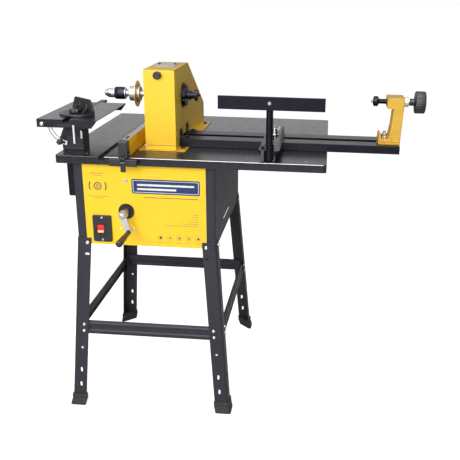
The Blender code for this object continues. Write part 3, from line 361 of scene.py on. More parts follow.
def moulding(name, colour, roughness, grain=900.0):
    """Moulded plastic or rubber with a fine spark-eroded grain."""
    made = Surface(name, roughness)
    made.mottled(colour, 0.14, made.noise(34.0, 4.0), 0.3, 0.5, 0.72)
    made.roughness(made.noise(70.0, 2.0), roughness - 0.06, roughness + 0.08)
    made.bumps((made.noise(grain, 2.0), 0.3, 0.06))
    return made.material


def casting(name, colour, roughness):
    """Sand-cast metal, bare or painted: lumpy skin with small pits."""
    made = Surface(name, roughness)
    made.mottled(colour, 0.10, made.noise(24.0, 5.0), 0.3, 0.5, 0.72)
    made.roughness(made.noise(60.0, 3.0), roughness - 0.05, roughness + 0.1)
    made.bumps((made.noise(320.0, 4.0), 0.5, 0.25), (made.noise(70.0, 2.0), 0.3, 0.5))
    return made.material


MATERIALS = {
    "charcoal_paint": paint("charcoal_powder_coat", (0.026, 0.025, 0.034), 0.42, grain=900.0,
                            mottle=0.10, Specular_IOR_Level=0.3),
    "bed_paint": paint("bed_enamel", (0.011, 0.010, 0.018), 0.30, grain=900.0, depth=0.01,
                       mottle=0.08, strength=0.08, Specular_IOR_Level=0.16),
    "table_paint": paint("table_enamel", (0.019, 0.019, 0.024), 0.25, grain=250.0, depth=0.01,
                         mottle=0.08, strength=0.03, Specular_IOR_Level=0.38),
    "yellow_paint": paint("yellow_powder_coat", (0.93, 0.58, 0.012), 0.48, grain=650.0, depth=0.03,
                          mottle=0.03, strength=0.2, Specular_IOR_Level=0.4),
    "grey_paint": paint("light_grey_enamel", (0.52, 0.51, 0.46), 0.36, grain=700.0, depth=0.02),
    "cast_yellow": casting("yellow_casting", (0.72, 0.41, 0.025), 0.42),
    "aluminium": casting("cast_aluminium", (0.50, 0.50, 0.51), 0.42),
    "black_steel": steel("black_oxide_steel", (0.022, 0.022, 0.030), 0.34, (60.0, 400.0, 400.0), 0.2),
    "bright_steel": steel("zinc_plated_steel", (0.62, 0.62, 0.64), 0.26, (500.0, 60.0, 500.0)),
    # Painted highlight: a brighter metal for the table's front rim faces, standing for the light line
    # along that edge.
    "painted_rim_highlight": steel("painted_rim_highlight", (0.26, 0.26, 0.28), 0.32, (60.0, 500.0, 500.0)),
    "chrome": turned_metal("polished_chrome", (0.56, 0.56, 0.58), 0.26, pitch=0.8),
    "soft_steel": turned_metal("faced_steel", (0.40, 0.39, 0.38), 0.42, pitch=1.0),
    "brass": turned_metal("turned_brass", (0.80, 0.57, 0.27), 0.38, pitch=1.4),
    "hub_metal": turned_metal("aged_hub", (0.30, 0.25, 0.20), 0.38, pitch=1.0),
    "black_plastic": moulding("black_moulding", (0.011, 0.011, 0.015), 0.42),
    "grey_plastic": moulding("grey_lever", (0.045, 0.045, 0.05), 0.45),
    "rubber": moulding("black_rubber", (0.014, 0.013, 0.019), 0.66, grain=500.0),
    "red_plastic": moulding("red_rocker", (0.75, 0.02, 0.015), 0.28, grain=1500.0),
    "amber_plastic": moulding("amber_rocker", (0.90, 0.42, 0.12), 0.30, grain=1500.0),
    "navy_label": moulding("navy_label", (0.010, 0.028, 0.125), 0.30, grain=2500.0),
    "white_label": moulding("white_label", (0.82, 0.82, 0.80), 0.40, grain=2500.0),
    "ink_label": moulding("faded_ink", (0.42, 0.27, 0.05), 0.45, grain=2500.0),
    "dark_ink": moulding("dark_ink", (0.09, 0.08, 0.07), 0.45, grain=2500.0),
}


# ---- pieces

def settle(made):
    """Replaces the mesh by its evaluated form, so no modifier is left."""
    evaluated = made.evaluated_get(bpy.context.evaluated_depsgraph_get())
    mesh = bpy.data.meshes.new_from_object(evaluated)
    made.modifiers.clear()
    made.data = mesh


def soften(made, width, segments):
    """Rounds the sharp edges and keeps the flat faces flat in shading."""
    made.data.shade_smooth()
    edges = made.modifiers.new("edges", "BEVEL")
    edges.width = width * MM
    edges.segments = segments
    edges.limit_method = "ANGLE"
    edges.angle_limit = math.radians(35)
    settle(made)
    made.data.set_sharp_from_angle(angle=math.radians(50))
    normals = made.modifiers.new("normals", "WEIGHTED_NORMAL")
    normals.keep_sharp = True
    settle(made)


def shade(mesh, sharp=40.0):
    mesh.shade_smooth()
    mesh.set_sharp_from_angle(angle=math.radians(sharp))


def attach(made, body, stands_for=None):
    """Rides the piece on a body, or on none where the caller leaves it between two."""
    if body:
        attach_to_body(made, body)
    if stands_for:
        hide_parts(stands_for)
    return made


def placed(name, shape, *finishes):
    """Object in the scene from a shape that is already in the model's frame."""
    mesh = mesh_of(name, shape)
    mesh.materials.clear()
    for finish in finishes:
        mesh.materials.append(MATERIALS[finish])
    return linked(name, mesh)


def piece(name, shape, finish, body, slot=None, bevel=0.0, segments=2, stands_for=None, sharp=40.0):
    """Object from a bench-frame shape, riding on a body."""
    for vertex in shape.verts:
        vertex.co = ORIGIN + vertex.co * MM
    made = placed(name, shape, finish)
    if bevel:
        soften(made, bevel, segments)
    else:
        shade(made.data, sharp)
    attach(made, body, stands_for)


def lathed(name, rows, axis, centre, finish, body, steps=48, flutes=0, bored=False, base=0.0,
           **options):
    """Piece turned from rows, as in turned."""
    piece(name, turned(rows, axis, centre, steps, flutes, bored, base), finish, body, **options)


def cad_shape(node):
    """Shape of a CAD node, its triangles joined to flat faces."""
    shape = bmesh.new()
    shape.from_mesh(frame["nodes"][node].data)
    bmesh.ops.remove_doubles(shape, verts=shape.verts, dist=0.00001)
    bmesh.ops.dissolve_limit(shape, angle_limit=math.radians(0.5), verts=shape.verts,
                             edges=shape.edges)
    return shape


def finished(node, width, segments=2, rides=True, finish=None):
    """Copy of a CAD node with rounded edges, standing for it."""
    made = placed(node + "_finished", cad_shape(node), finish or SLOTS[node])
    soften(made, width, segments)
    return attach(made, BODIES[node] if rides else None, node)


# ---- fasteners

HEAD_POINTS = 24


def hexagon(across_flats):
    """Radii of a hexagon on evenly spaced angles."""
    turns = [(2 * math.pi * step / HEAD_POINTS) % (math.pi / 3) - math.pi / 6
             for step in range(HEAD_POINTS)]
    return [across_flats / 2 / math.cos(turn) for turn in turns]


def cross(arm):
    """Radii of the cross recess of a screw head."""
    return [arm if step % 6 in (0, 1, 5) else arm * 0.38 for step in range(HEAD_POINTS)]


# Rings of (radius, height); a ring that isn't round has a list of radii.
HEAD_ROWS = {
    "hex": ((6.4, -0.4), (6.4, 0.7), (6.2, 0.9), (4.6, 0.9), (hexagon(9.4), 0.9),
            (hexagon(9.4), 4.2), (4.6, 5.0), (3.4, 5.0), (3.2, 4.8)),
    "dome": ((5.0, -0.4), (5.0, 0.6), (4.6, 1.9), (3.6, 2.9), (2.4, 3.4), (hexagon(3.6), 3.45),
             (hexagon(3.4), 1.8)),
    "screw": ((5.0, -0.4), (5.0, 0.5), (4.4, 1.8), (3.4, 2.5), (cross(2.6), 2.6),
              (cross(2.3), 1.1)),
}


def head_mesh(kind):
    """Head of a fastener, 10 mm across, standing on z = 0, outward along +Z."""
    rings = []
    for radii, height in HEAD_ROWS[kind]:
        if not isinstance(radii, list):
            radii = [radii] * HEAD_POINTS
        rings.append([Vector((*around((0, 0), radius, 360 * step / HEAD_POINTS), height)) * MM
                      for step, radius in enumerate(radii)])
    mesh = mesh_of(kind + "_head", skin(rings))
    shade(mesh, 35)
    return mesh


HEADS = {kind: head_mesh(kind) for kind in HEAD_ROWS}


def fasten(name, kind, at, outward, across, finish="bright_steel", body="bench", spin=0.0):
    """Puts a fastener head of a size across at a bench place, facing outward."""
    mesh = HEADS[kind].copy()
    mesh.materials.append(MATERIALS[finish])
    made = linked(name, mesh)
    turn = Vector(outward).to_track_quat("Z", "Y").to_matrix().to_4x4()
    made.matrix_world = (Matrix.Translation(ORIGIN + Vector(at) * MM) @ turn
                         @ Matrix.Rotation(math.radians(spin), 4, "Z") @ Matrix.Scale(across / 10, 4))
    attach(made, body)


def fasten_all(name, kind, places, outward, across, finish="bright_steel", body="bench", spin=0.0):
    """Numbered fasteners of one kind, each turned a little further than the last."""
    for index, place in enumerate(places):
        fasten(f"{name}_{index}", kind, place, outward, across, finish, body, spin * index)


# ---- stand

CORNERS = {"front_left": (-1, -1), "front_right": (1, -1), "rear_left": (-1, 1), "rear_right": (1, 1)}


def leg_corner(corner, height):
    """Outer corner line of a leg at a height, from the leg's own box."""
    low, high = span("leg_" + corner)
    side_x, side_y = CORNERS[corner]
    bottom = (low.x if side_x < 0 else high.x, low.y if side_y < 0 else high.y)
    top = (high.x - LEG_FLANGE if side_x < 0 else low.x + LEG_FLANGE,
           high.y - LEG_FLANGE if side_y < 0 else low.y + LEG_FLANGE)
    share = (height - low.z) / (high.z - low.z)
    return Vector(bottom).lerp(Vector(top), share)


def on_flange(corner, facing, across, height):
    """Place and outward direction on a leg's front or side flange."""
    side_x, side_y = CORNERS[corner]
    point = leg_corner(corner, height)
    lean = leg_corner(corner, height + 100) - point
    if facing == "end":
        return (point.x - side_x * across, point.y, height), (0, side_y, abs(lean.y) / 100)
    return (point.x, point.y - side_y * across, height), (side_x, 0, abs(lean.x) / 100)


def dress_stand():
    for corner in CORNERS:
        for facing, across in (("end", 30.0), ("side", 38.0)):
            for row, height in enumerate((288.0, 266.0)):
                at, outward = on_flange(corner, facing, across, height)
                fasten(f"brace_bolt_{corner}_{facing}_{row}", "dome", at, outward, 10.5,
                       spin=17 * row)
            at, outward = on_flange(corner, facing, 33.0, 564.0)
            fasten(f"leg_bolt_{corner}_{facing}", "dome", at, outward, 12.5)
            at, outward = on_flange(corner, facing, 11.0, 566.0)
            fasten(f"leg_rivet_{corner}_{facing}", "dome", at, outward, 6.0, "charcoal_paint")
        finished("leg_" + corner, 0.5)
        finished("foot_" + corner, 1.6, 3)
    for side in ("front", "rear", "left", "right"):
        finished("brace_" + side, 1.2, 3)


# ---- cabinet and its front

def decal(name, outline, finish, lift=1):
    """Thin printed patch on the cabinet's front."""
    near = FACE - PROUD
    patch = prism(outline, "Y", near - PRINT_LAYER * lift, near)
    piece(name, patch, finish, "bench", "black_plastic")


def ring_decal(name, centre, outer, inner, finish):
    """Thin printed ring on the cabinet's front."""
    near = FACE - PROUD
    ring = ring_prism(circle(centre, outer), circle(centre, inner), "Y", near - 0.2, near)
    piece(name, ring, finish, "bench", "black_plastic")


def dress_labels():
    """Blank plates and plain marks where the machine carries its printing."""
    layers = (("front_plate", 0, 5, "navy_label"), ("front_plate_border", 4, 3, "white_label"),
              ("front_plate_field", 5.5, 2.5, "navy_label"))
    for below, (name, inset, radius, finish) in enumerate(layers):
        outline = rounded_rectangle(215 + inset, 729 + inset, 424 - inset, 775 - inset, radius)
        decal(name, outline, finish, below + 1)
    for row, right in enumerate((407, 352)):
        height = 757 - 13 * row
        decal(f"front_plate_stripe_{row}", rounded_rectangle(232, height - 3, right, height + 3, 2),
              "white_label", 4)
    decal("caption_line", rectangle(252, 716, 418, 719.5), "ink_label")
    for row, left in enumerate((402, 400, 396, 388, 356, 314)):
        height = 667 - 7.5 * row
        decal(f"note_line_{row}", rectangle(left, height, 418, height + 1.8), "ink_label")
    for index in range(5):
        centre = (297 + 29.5 * index, 590)
        ring_decal(f"round_mark_{index}", centre, 8.5, 7.2, "ink_label")
        dot = circle((centre[0] + 1.5, centre[1]), 4.2 - 0.4 * (index % 3), 20)
        decal(f"round_mark_dot_{index}", dot, "navy_label" if index % 2 == 0 else "ink_label")
        decal(f"mark_line_{index}", rectangle(centre[0] - 9, 573, centre[0] + 9, 574.6), "ink_label")
    ring_decal("dial_mark", DIAL, 12.5, 9.0, "dark_ink")
    ring_decal("dial_mark_centre", DIAL, 5.5, 3.2, "dark_ink")
    for side, (start, end) in (("left", (150, 210)), ("right", (-30, 30))):
        band = arc(DIAL, 28, start, end, 10) + arc(DIAL, 24, end, start, 10)
        decal("turn_mark_" + side, band, "dark_ink")
    for row, (height, half) in enumerate(((787, 22), (781, 14), (715, 30), (709, 16))):
        decal(f"dial_line_{row}", rectangle(DIAL[0] - half, height, DIAL[0] + half, height + 2),
              "ink_label")


def dress_cabinet():
    for side in ("front", "rear", "left", "right"):
        finished(f"cabinet_{side}_panel", 0.4)
    fasten_all("bracket_screw", "screw", [(x, FACE, 613) for x in (175, 215)], FRONT, 9.5)
    fasten("panel_bolt", "hex", (198, FACE, 768), FRONT, 9.5)
    fasten_all("panel_screw", "screw", [(x, FACE, z) for z in (830, 572) for x in (76, 431)], FRONT,
               6.0, "black_steel")
    rear = span("cabinet_rear_panel")[1].y
    fasten_all("rear_panel_screw", "screw",
               [(x, rear, z) for x, z in ((80, 820), (427, 820), (80, 580), (427, 580), (253, 820))],
               BACK, 8.0)
    dress_labels()


def dress_crank():
    lathed("crank_dish", [(-1.4, 24.5), (-0.2, 25), (-0.05, 22.5), (1.3, 21.4), (1.3, 9.2),
                          (-2.5, 9.2), (-3.5, 11), (-0.4, 13), (-0.6, 20.5), (-1.6, 22.5)],
           "Y", CRANK, "black_plastic", "bench", bored=True, base=FACE)
    lathed("crank_hub_cap", [(-14.5, 0.3), (-14.5, 5.5), (-13.5, 7.5), (-8.2, 8.0), (-8.2, 0.3)],
           "Y", CRANK, "chrome", "crank")
    lathed("crank_collar", [(-0.8, 8.2), (-0.8, 12.5), (0.6, 13.5), (15, 13.5), (17, 12), (17, 8.2)],
           "Y", CRANK, "chrome", "crank", bored=True)
    finished("crank_arm", 0.8, finish="aluminium")
    low, high = span("crank_grip")
    reach = high.y - low.y
    lathed("crank_handle",
           [(0, 0.3), (0, 6.2), (1.2, 8.6), (4, 10.0), (9, 10.0), (26, 9.5), (52, 8.4),
            (reach - 24, 7.1), (reach - 8, 6.2), (reach - 4.5, 6.3), (reach - 3, 7.4),
            (reach - 0.6, 7.5), (reach, 7.0), (reach, 4.3), (7, 4.3), (7, 0.3)],
           "Y", centred("crank_grip", "Y"), "black_plastic", "crank_grip", 40, base=low.y,
           stands_for="crank_grip")


def dress_switch():
    finished("switch_plate", 1.3, 3)
    x, z = SWITCH
    fasten_all("switch_screw", "screw", [(x + 4.5, FACE - 6, z + rise) for rise in (36, -36)],
               FRONT, 6.5)
    finished("switch_rocker", 0.9, 3)
    low, high = span("switch_rocker")
    lens = prism([(low.y + 0.35, z - 11.2), (low.y + 3.2, z - 4.6), (low.y + 2.4, z - 4.0),
                  (low.y - 0.45, z - 11.0)], "X", low.x + 1.6, high.x - 1.6)
    piece("rocker_lens", lens, "amber_plastic", "switch_rocker", "red_plastic", bevel=0.25)
    rim = ring_prism(rounded_rectangle(x - 15.5, z - 20.5, x + 15.5, z + 20.5, 2.5),
                     rounded_rectangle(x - 11, z - 16, x + 11, z + 16, 0.8), "Y", FACE - 8.4,
                     FACE - 6.05)
    piece("rocker_frame", rim, "black_plastic", "bench", bevel=0.7)


# ---- table

RIM_WIDTH = 0.0031
RIM_ROUND = 0.0036
RIM_TURN = 1.2
# Painted highlight on the table's front rim: how far right it runs, how far back it reaches and how
# steep a face takes it.
HIGHLIGHT_TO = 790.0
HIGHLIGHT_DEPTH = 6.0
HIGHLIGHT_SLOPE = 0.3


def is_rim(edge):
    """True for an edge where the table's top folds down along its border."""
    middle = (edge.verts[0].co + edge.verts[1].co) / 2
    border = min(middle.x - table_low.x, table_high.x - middle.x, middle.y - table_low.y,
                 table_high.y - middle.y)
    level = min(vertex.co.z for vertex in edge.verts)
    return (level > table_high.z - 0.0001 and border < RIM_WIDTH
            and edge.calc_face_angle(0) > RIM_TURN)


def dress_table():
    """Top with a rolled outer edge whose front part carries a painted highlight in a brighter metal;
    the inner edges are only broken.
    """
    shape = cad_shape("table_top")
    rim = [edge for edge in shape.edges if is_rim(edge)]
    bmesh.ops.bevel(shape, geom=rim, offset=RIM_ROUND, segments=5, affect="EDGES", profile=0.5,
                    clamp_overlap=True)
    bmesh.ops.triangulate(shape, faces=[face for face in shape.faces if len(face.verts) > 4])
    made = placed("table_top_finished", shape, "table_paint", "painted_rim_highlight")
    soften(made, 0.35, 1)
    # Painted highlight: rim faces that turn up and out at the front, right of the fence, take the
    # brighter metal in place of the light line along the edge.
    highlight_from = span("rip_fence")[1].x
    for face in made.data.polygons:
        centre = (face.center - ORIGIN) / MM
        slope = face.normal
        turned_out = slope.y < -HIGHLIGHT_SLOPE and slope.z > HIGHLIGHT_SLOPE
        if turned_out and highlight_from < centre.x < HIGHLIGHT_TO and centre.y < HIGHLIGHT_DEPTH:
            face.material_index = 1
    attach(made, "bench", "table_top")
    low, high = span("table_top")
    places = ((86, 34), (86, 664), (420, 664), (740, 34), (740, 664), (178, 664))
    fasten_all("table_screw", "screw", [(x, y, high.z - 1.5) for x, y in places], UP, 7.5,
               "aluminium", spin=25)
    fasten_all("apron_screw", "screw", [(x, low.y, high.z - 13) for x in (28, 300, 560, 745)], FRONT,
               5.0, "table_paint")


# ---- headstock

def dress_headstock():
    finished("head_cover", 0.8)
    finished("head_left_plate", 0.6)
    finished("head_right_plate", 0.6)
    low, high = span("head_cover")
    top_plate = prism(rounded_rectangle(low.x + 11, 198, high.x - 21, 294, 5), "Z",
                      high.z - 0.3, high.z + 1.4)
    piece("head_top_plate", top_plate, "grey_paint", "bench", "bright_steel", bevel=0.4)
    fasten_all("head_top_screw", "dome", [(x, 256, high.z + 1.4) for x in (low.x + 17, high.x - 27)],
               UP, 9.0, "black_steel", spin=20)
    foot_strip = box((low.x, 110.6, low.z + 2.2), (high.x, 111.95, low.z + 13))
    piece("head_front_strip", foot_strip, "yellow_paint", "bench", bevel=0.5)
    # Painted shade: a thin black strip stands for the shadow in the groove above the front strip.
    shade_line = box((low.x + 0.6, 111.5, low.z + 13.2), (high.x, 111.95, low.z + 14.3))
    piece("head_front_shade_line", shade_line, "black_plastic", "bench", "yellow_paint", bevel=0.1)
    right, left = span("head_right_plate")[0].x + 2, span("head_left_plate")[1].x - 2
    spots = ((128, 1070), (128, 900), (300, 1070), (440, 985), (585, 900))
    for side, x, facing in (("right", right, 1), ("left", left, -1)):
        fasten_all("head_side_screw_" + side, "screw", [(x, y, z) for y, z in spots],
                   (facing, 0, 0), 6.0, "yellow_paint", spin=15)
    deck = low.z + 2
    feet = ((356, 136), (356, 340), (356, 540), (236, 150), (236, 360), (236, 560))
    for index, (x, y) in enumerate(feet):
        fasten(f"head_side_foot_bolt_{index}", "hex", (x, y, deck), UP, 11.0,
               "black_steel" if index < 3 else "bright_steel")
    knob_low, knob_high = span("head_cover_knob")
    front = knob_low.y
    neck, shank = low.y - front, knob_high.y - front
    lathed("head_knob",
           [(1.2, 0.3), (1.2, 6.4), (0, 7.6, 0.2), (0, 9.4, 0.7), (1.8, 11.6, 1.2), (13.5, 12, 1.4),
            (neck + 19.8, 10.6, 0.6), (neck + 20.7, 9.8), (neck + 20.7, 4), (shank, 4), (shank, 0.3)],
           "Y", centred("head_cover_knob", "Y"), "black_plastic", "head_cover_knob", 72, 12,
           base=front, stands_for="head_cover_knob")


# ---- spindle line

def dress_chuck():
    low, high = span("chuck_sleeve")
    outer = (high.y - low.y) / 2
    lathed("chuck_gear_ring",
           [(0, 15), (0, 17.2, 0.2), (0.8, 18.0, 1.2), (4.6, outer, 1.6), (6.4, outer, 1.6),
            (7.0, outer - 1.2), (7.0, 15)],
           "X", SPINDLE, "black_steel", "chuck_sleeve", 96, 24, True, low.x, sharp=30)
    start = low.x + 7.2
    reach = high.x - start
    lathed("chuck_knurled_sleeve",
           [(0, 15), (0, outer - 1.1), (0.8, outer - 0.4, 0.2), (1.6, outer, 0.4),
            (reach - 7.0, outer, 0.4), (reach - 6.4, outer - 0.6), (reach - 5.8, outer - 0.6),
            (reach - 5.2, outer), (reach - 2.0, outer - 0.2), (reach - 0.6, outer - 1.0),
            (reach, outer - 2.0), (reach, 15)],
           "X", SPINDLE, "black_steel", "chuck_sleeve", 144, 48, True, start,
           stands_for="chuck_sleeve", sharp=28)
    body_low, body_high = span("chuck_body")
    front, end = body_low.x, body_high.x - body_low.x
    body = turned([(0, 6.8), (0, 7.2), (0.5, 8.0), (1.6, 8.9), (7, 11.8), (13.2, 14.3), (14.6, 14.6),
                   (30.6, 14.6), (31.2, 14.3), (end - 4.6, 14.3), (end - 4.6, 16.4), (end - 4.1, 17),
                   (end - 2, 17), (end - 0.4, 15), (end, 14), (end, 9.3), (end - 13, 9.3),
                   (end - 13, 6.8)], "X", SPINDLE, 72, bored=True, base=front)
    middle = Vector((front + 24.5, *SPINDLE))
    holes = []
    for turn in (40, 160, 280):
        spoke = Vector((0, *around((0, 0), 1, turn)))
        side = Vector((0, -spoke.z, spoke.y))
        holes.append(skin([[middle + spoke * reach + Vector((along, 0, 0)) + side * off
                            for along, off in circle((0, 0), 2.6, 16)] for reach in (12.0, 20.0)]))
    piece("chuck_shell", without(body, *holes), "chrome", "spindle", stands_for="chuck_body",
          sharp=30)
    for turn in range(3):
        angle = 120 * turn + 90
        outline = arc(SPINDLE, 6.4, angle - 42, angle + 42, 8) + [around(SPINDLE, 1.2, angle)]
        piece(f"chuck_jaw_{turn}", prism(outline, "X", front + 0.8, front + 32), "soft_steel",
              "spindle", "bright_steel", bevel=0.4)


def dress_spindle():
    dress_chuck()
    low, high = span("spindle_disc")
    back, thick = high.x, high.x - low.x
    lathed("grinding_disc",
           [(0, 23.3), (0, 30), (0.4, 31), (0.4, 39.4), (0.9, 40.6), (1.5, 41), (thick - 1.0, 41),
            (thick - 0.4, 40.6), (thick, 39.6), (thick, 23.3)],
           "X", SPINDLE, "brass", "spindle", 96, bored=True, base=low.x,
           stands_for="spindle_disc")
    lathed("disc_flange", [(0.1, 23.2), (0.1, 27.4), (0.6, 28), (2.4, 28), (3.0, 27), (3.0, 23.2)],
           "X", SPINDLE, "hub_metal", "spindle", 72, bored=True, base=back, slot="brass")
    fasten_all("disc_screw", "screw",
               [(back + 3.0, *around(SPINDLE, 25.6, turn)) for turn in (20, 140, 260)],
               RIGHT, 3.6, body="spindle")
    finished("spindle_shaft", 0.5, finish="soft_steel")
    finished("drive_faceplate", 0.7)
    for side in ("left", "right"):
        finished("spindle_bearing_" + side, 0.6)


# ---- motor and lift


def dress_drive():
    finished("motor_carriage", 0.6)
    finished("lift_bracket", 0.5)
    finished("motor_rotor", 0.5)
    low, high = span("motor_housing")
    end = high.x - low.x
    lathed("motor_shell",
           [(0, 8.3), (0, 54), (1.5, 57), (4, 60), (18, 60.5), (19, 57, 3.2), (118, 57, 3.2),
            (119, 60.5), (138, 59), (146, 54), (end - 1, 48), (end, 46), (end, 6), (end - 2, 4),
            (end - 2, 0.3), (30, 0.3), (30, 8.3)],
           "X", centred("motor_housing", "X"), "aluminium", "motor_carriage", 144, 36, True, low.x,
           stands_for="motor_housing")
    belt = finished("drive_belt", 0.8, rides=False)
    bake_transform(belt)
    finished("lift_screw", 0.4, 1)
    screw_top = span("lift_screw")[1].z - 1
    thread = threaded("Z", centred("lift_screw", "Z"), 8.25, 658, screw_top, 4.0, 0.8)
    piece("lift_thread", thread, "bright_steel", "lift_screw")


# ---- lathe bed and tool rest

def dress_bed():
    for side in ("front", "rear"):
        finished(f"bed_{side}_rail", 1.0, 3, finish="bed_paint")
    low, high = span("bed_front_rail")
    rear_low, _ = span("bed_rear_rail")
    web_low = low.z + 2.6
    spacer = box((high.x - 3.0, high.y - 26, web_low), (high.x - 0.4, rear_low.y + 26, high.z - 2.7))
    piece("bed_end_plate", spacer, "bed_paint", "bench", "charcoal_paint", bevel=0.5)
    wall, deck = 340.4, high.z + 0.1
    angle = [(wall, deck), (wall + 32, deck), (wall + 32, deck + 3), (wall + 3, deck + 3),
             (wall + 3, deck + 29), (wall, deck + 29)]
    for name, y, inner in (("front", 186.0, 190), ("rear", 284.0, 280)):
        piece(f"bed_angle_{name}", prism(angle, "Y", y - 14, y + 14), "bed_paint", "bench",
              "charcoal_paint", bevel=0.6)
        fasten(f"bed_angle_bolt_{name}", "hex", (360, y, high.z + 3.1), UP, 10.0, "black_steel")
        fasten(f"bed_angle_screw_{name}", "dome", (343.4, y, high.z + 18), RIGHT, 10.0, "black_steel")
        fasten_all(f"bed_bolt_{name}", "hex", [(x, inner, low.z + 2.5) for x in (380, 560, 740)], UP,
                   9.0)


def dress_tool_rest():
    finished("rest_clamp_plate", 0.5)
    finished("tool_rest_bracket", 0.9)
    finished("tool_rest_bar", 1.0, 3, finish="bed_paint")
    finished("post_clamp_lever", 0.9, 3)
    low, high = span("tool_rest_post")
    radius, reach = (high.x - low.x) / 2, high.z - low.z
    axis = centred("tool_rest_post", "Z")
    lathed("rest_post",
           [(0, 0.3), (0, radius - 1.5), (1.5, radius), (reach - 34, radius), (reach - 30, radius),
            (reach - 0.8, radius), (reach, radius - 0.8), (reach, 0.3)],
           "Z", axis, "black_steel", "tool_rest_post", base=low.z, stands_for="tool_rest_post")
    bar_low, bar_high = span("tool_rest_bar")
    fasten("rest_bar_bolt", "dome", (axis[0], bar_low.y, bar_low.z + 20), FRONT, 10.5,
           "aluminium", "tool_rest_bar")
    fasten("rest_bar_nut", "hex", (axis[0], bar_high.y, bar_low.z + 13), BACK, 9.5,
           body="tool_rest_bar")
    finished("rest_wing_bolt", 0.9, 3)
    low, _ = span("post_clamp_lever")
    fasten("post_clamp_screw", "hex", (axis[0] - 16, low.y, 894), FRONT, 8.5, "black_steel",
           "post_clamp_lever")


# ---- tailstock

def dress_tailstock():
    finished("tailstock_casting", 0.9, 3)
    finished("tailstock_clamp_bolt", 0.6)
    low, high = span("live_centre")
    wide, back = (high.z - low.z) / 2, high.x - low.x
    lathed("revolving_centre",
           [(0, 0.25), (0.5, 0.7), (7.3, 6.2), (7.5, 9.0), (8.4, 12.4), (9.8, 14.6), (11.2, wide),
            (14.4, wide), (14.8, wide - 0.8), (15.8, wide - 0.8), (16.2, wide), (back - 4.6, wide),
            (back - 3.2, wide - 1), (back, 10), (back, 0.25)],
           "X", SPINDLE, "black_steel", "live_centre", 64, base=low.x, stands_for="live_centre")
    lathed("centre_point", [(-0.05, 0.25), (0.45, 0.8), (7.2, 6.4), (7.25, 0.3)], "X", SPINDLE,
           "bright_steel", "live_centre", base=low.x)
    low, high = span("tailstock_screw")
    wheel = (high.z - low.z) / 2
    hub = high.x - 47.7
    lathed("handwheel",
           [(0, 4), (0, 10.2), (0.8, 11), (14, 11), (15, 12.5), (15.6, wheel - 4),
            (16.4, wheel - 1.6, 0.3), (18, wheel, 1.1), (44.6, wheel - 0.3, 1.1),
            (46.4, wheel - 1.7, 0.3), (47.4, wheel - 4), (47.6, wheel - 8), (47.3, 13), (44.5, 12),
            (44.0, 9.5), (44.0, 4)],
           "X", SPINDLE, "black_plastic", "tailstock_screw", 200, 40, True, hub, slot="black_steel")
    screw = threaded("X", SPINDLE, 7.9, low.x, hub + 44.5, 2.0, 0.75)
    piece("tailstock_thread", screw, "black_steel", "tailstock_screw",
          stands_for="tailstock_screw")
    lathed("handwheel_cap", [(44.4, 0.3), (44.4, 8.8), (46.0, 8.2), (46.8, 6.5), (47.0, 0.3)], "X",
           SPINDLE, "black_steel", "tailstock_screw", base=hub)
    low, high = span("tailstock_lock_ring")
    end = high.x - low.x
    lathed("lock_ring",
           [(0, 8.3), (0, 13.4), (0.9, 14.8), (2, 15, 0.25), (end - 2, 15, 0.25), (end - 0.9, 14.8),
            (end, 13.4), (end, 8.3)],
           "X", SPINDLE, "bright_steel", "tailstock_lock_ring", 120, 40, True, low.x,
           stands_for="tailstock_lock_ring")


# ---- side table and mitre gauge

def dress_side_table():
    finished("side_table", 0.7)
    finished("side_table_bracket", 1.2, 3)
    finished("side_table_column", 0.7)
    low, high = span("side_table")
    for index, (x, size, finish) in enumerate(((15, 13.0, "bright_steel"), (27, 8.0, "black_steel"))):
        fasten(f"side_table_bolt_{index}", "dome", (low.x + x, low.y, high.z - 14), FRONT, size,
               finish, "side_table")
    # Painted shade: a thin black patch stands for the dark opening of a slot in the apron.
    slot = rounded_rectangle(low.x + 62, high.z - 18.5, low.x + 118, high.z - 14.5, 2)
    piece("apron_slot_shade", prism(slot, "Y", low.y - 0.25, low.y - 0.04), "black_plastic",
          "side_table")
    start, end, line = 177, 263.5, 58
    band_outer = arc(TILT, line + 6.6, start, end, 30) + arc(TILT, line - 6.6, end, start, 30)
    slot_hole = arc(TILT, line + 3.4, 194, 259, 26) + arc(TILT, line - 3.4, 259, 194, 26)
    plate = without(prism(band_outer, "Y", 63.6, 64.4), prism(slot_hole, "Y", 60, 68))
    piece("quadrant_scale", plate, "white_label", "side_table_column", "bright_steel")
    for index in range(8):
        mark = tick(TILT, 186 + 10 * index, 61.9, 64.2, 0.35)
        piece(f"quadrant_mark_{index}", prism(mark, "Y", 63.3, 63.55), "dark_ink",
              "side_table_column", "black_plastic")
    # Painted highlight: two thin rods in the white label finish; the first stands for the glint on a
    # steel rod, the second for the highlight on the column's bent edge.
    for index, (x, y, top, bottom) in enumerate(((57, 20, 936, 881), (63, 66, 911, 887))):
        lathed(f"highlight_rod_{index}", [(bottom, 0.3), (bottom, 2.2), (bottom + 0.6, 2.8),
                                     (top - 0.6, 2.8), (top, 2.2), (top, 0.3)],
               "Z", (x, y), "white_label", "side_table", 24, slot="bright_steel")
    knob_low, knob_high = span("tilt_knob")
    shank = knob_high.y - knob_low.y
    lathed("tilt_grip",
           [(0.6, 0.3), (0.6, 4.2), (0, 5, 0.2), (1.6, 8.4, 0.9), (4, 9, 1.3), (13.6, 9, 1.3),
            (16, 8.2, 0.6), (19.1, 6.8), (19.1, 2.5), (shank, 2.5), (shank, 0.3)],
           "Y", centred("tilt_knob", "Y"), "black_plastic", "tilt_knob", 60, 6, base=knob_low.y,
           stands_for="tilt_knob")
    fasten("tilt_pin_head", "dome", (TILT[0], 130, TILT[1]), BACK, 12.0, body="side_table_column")


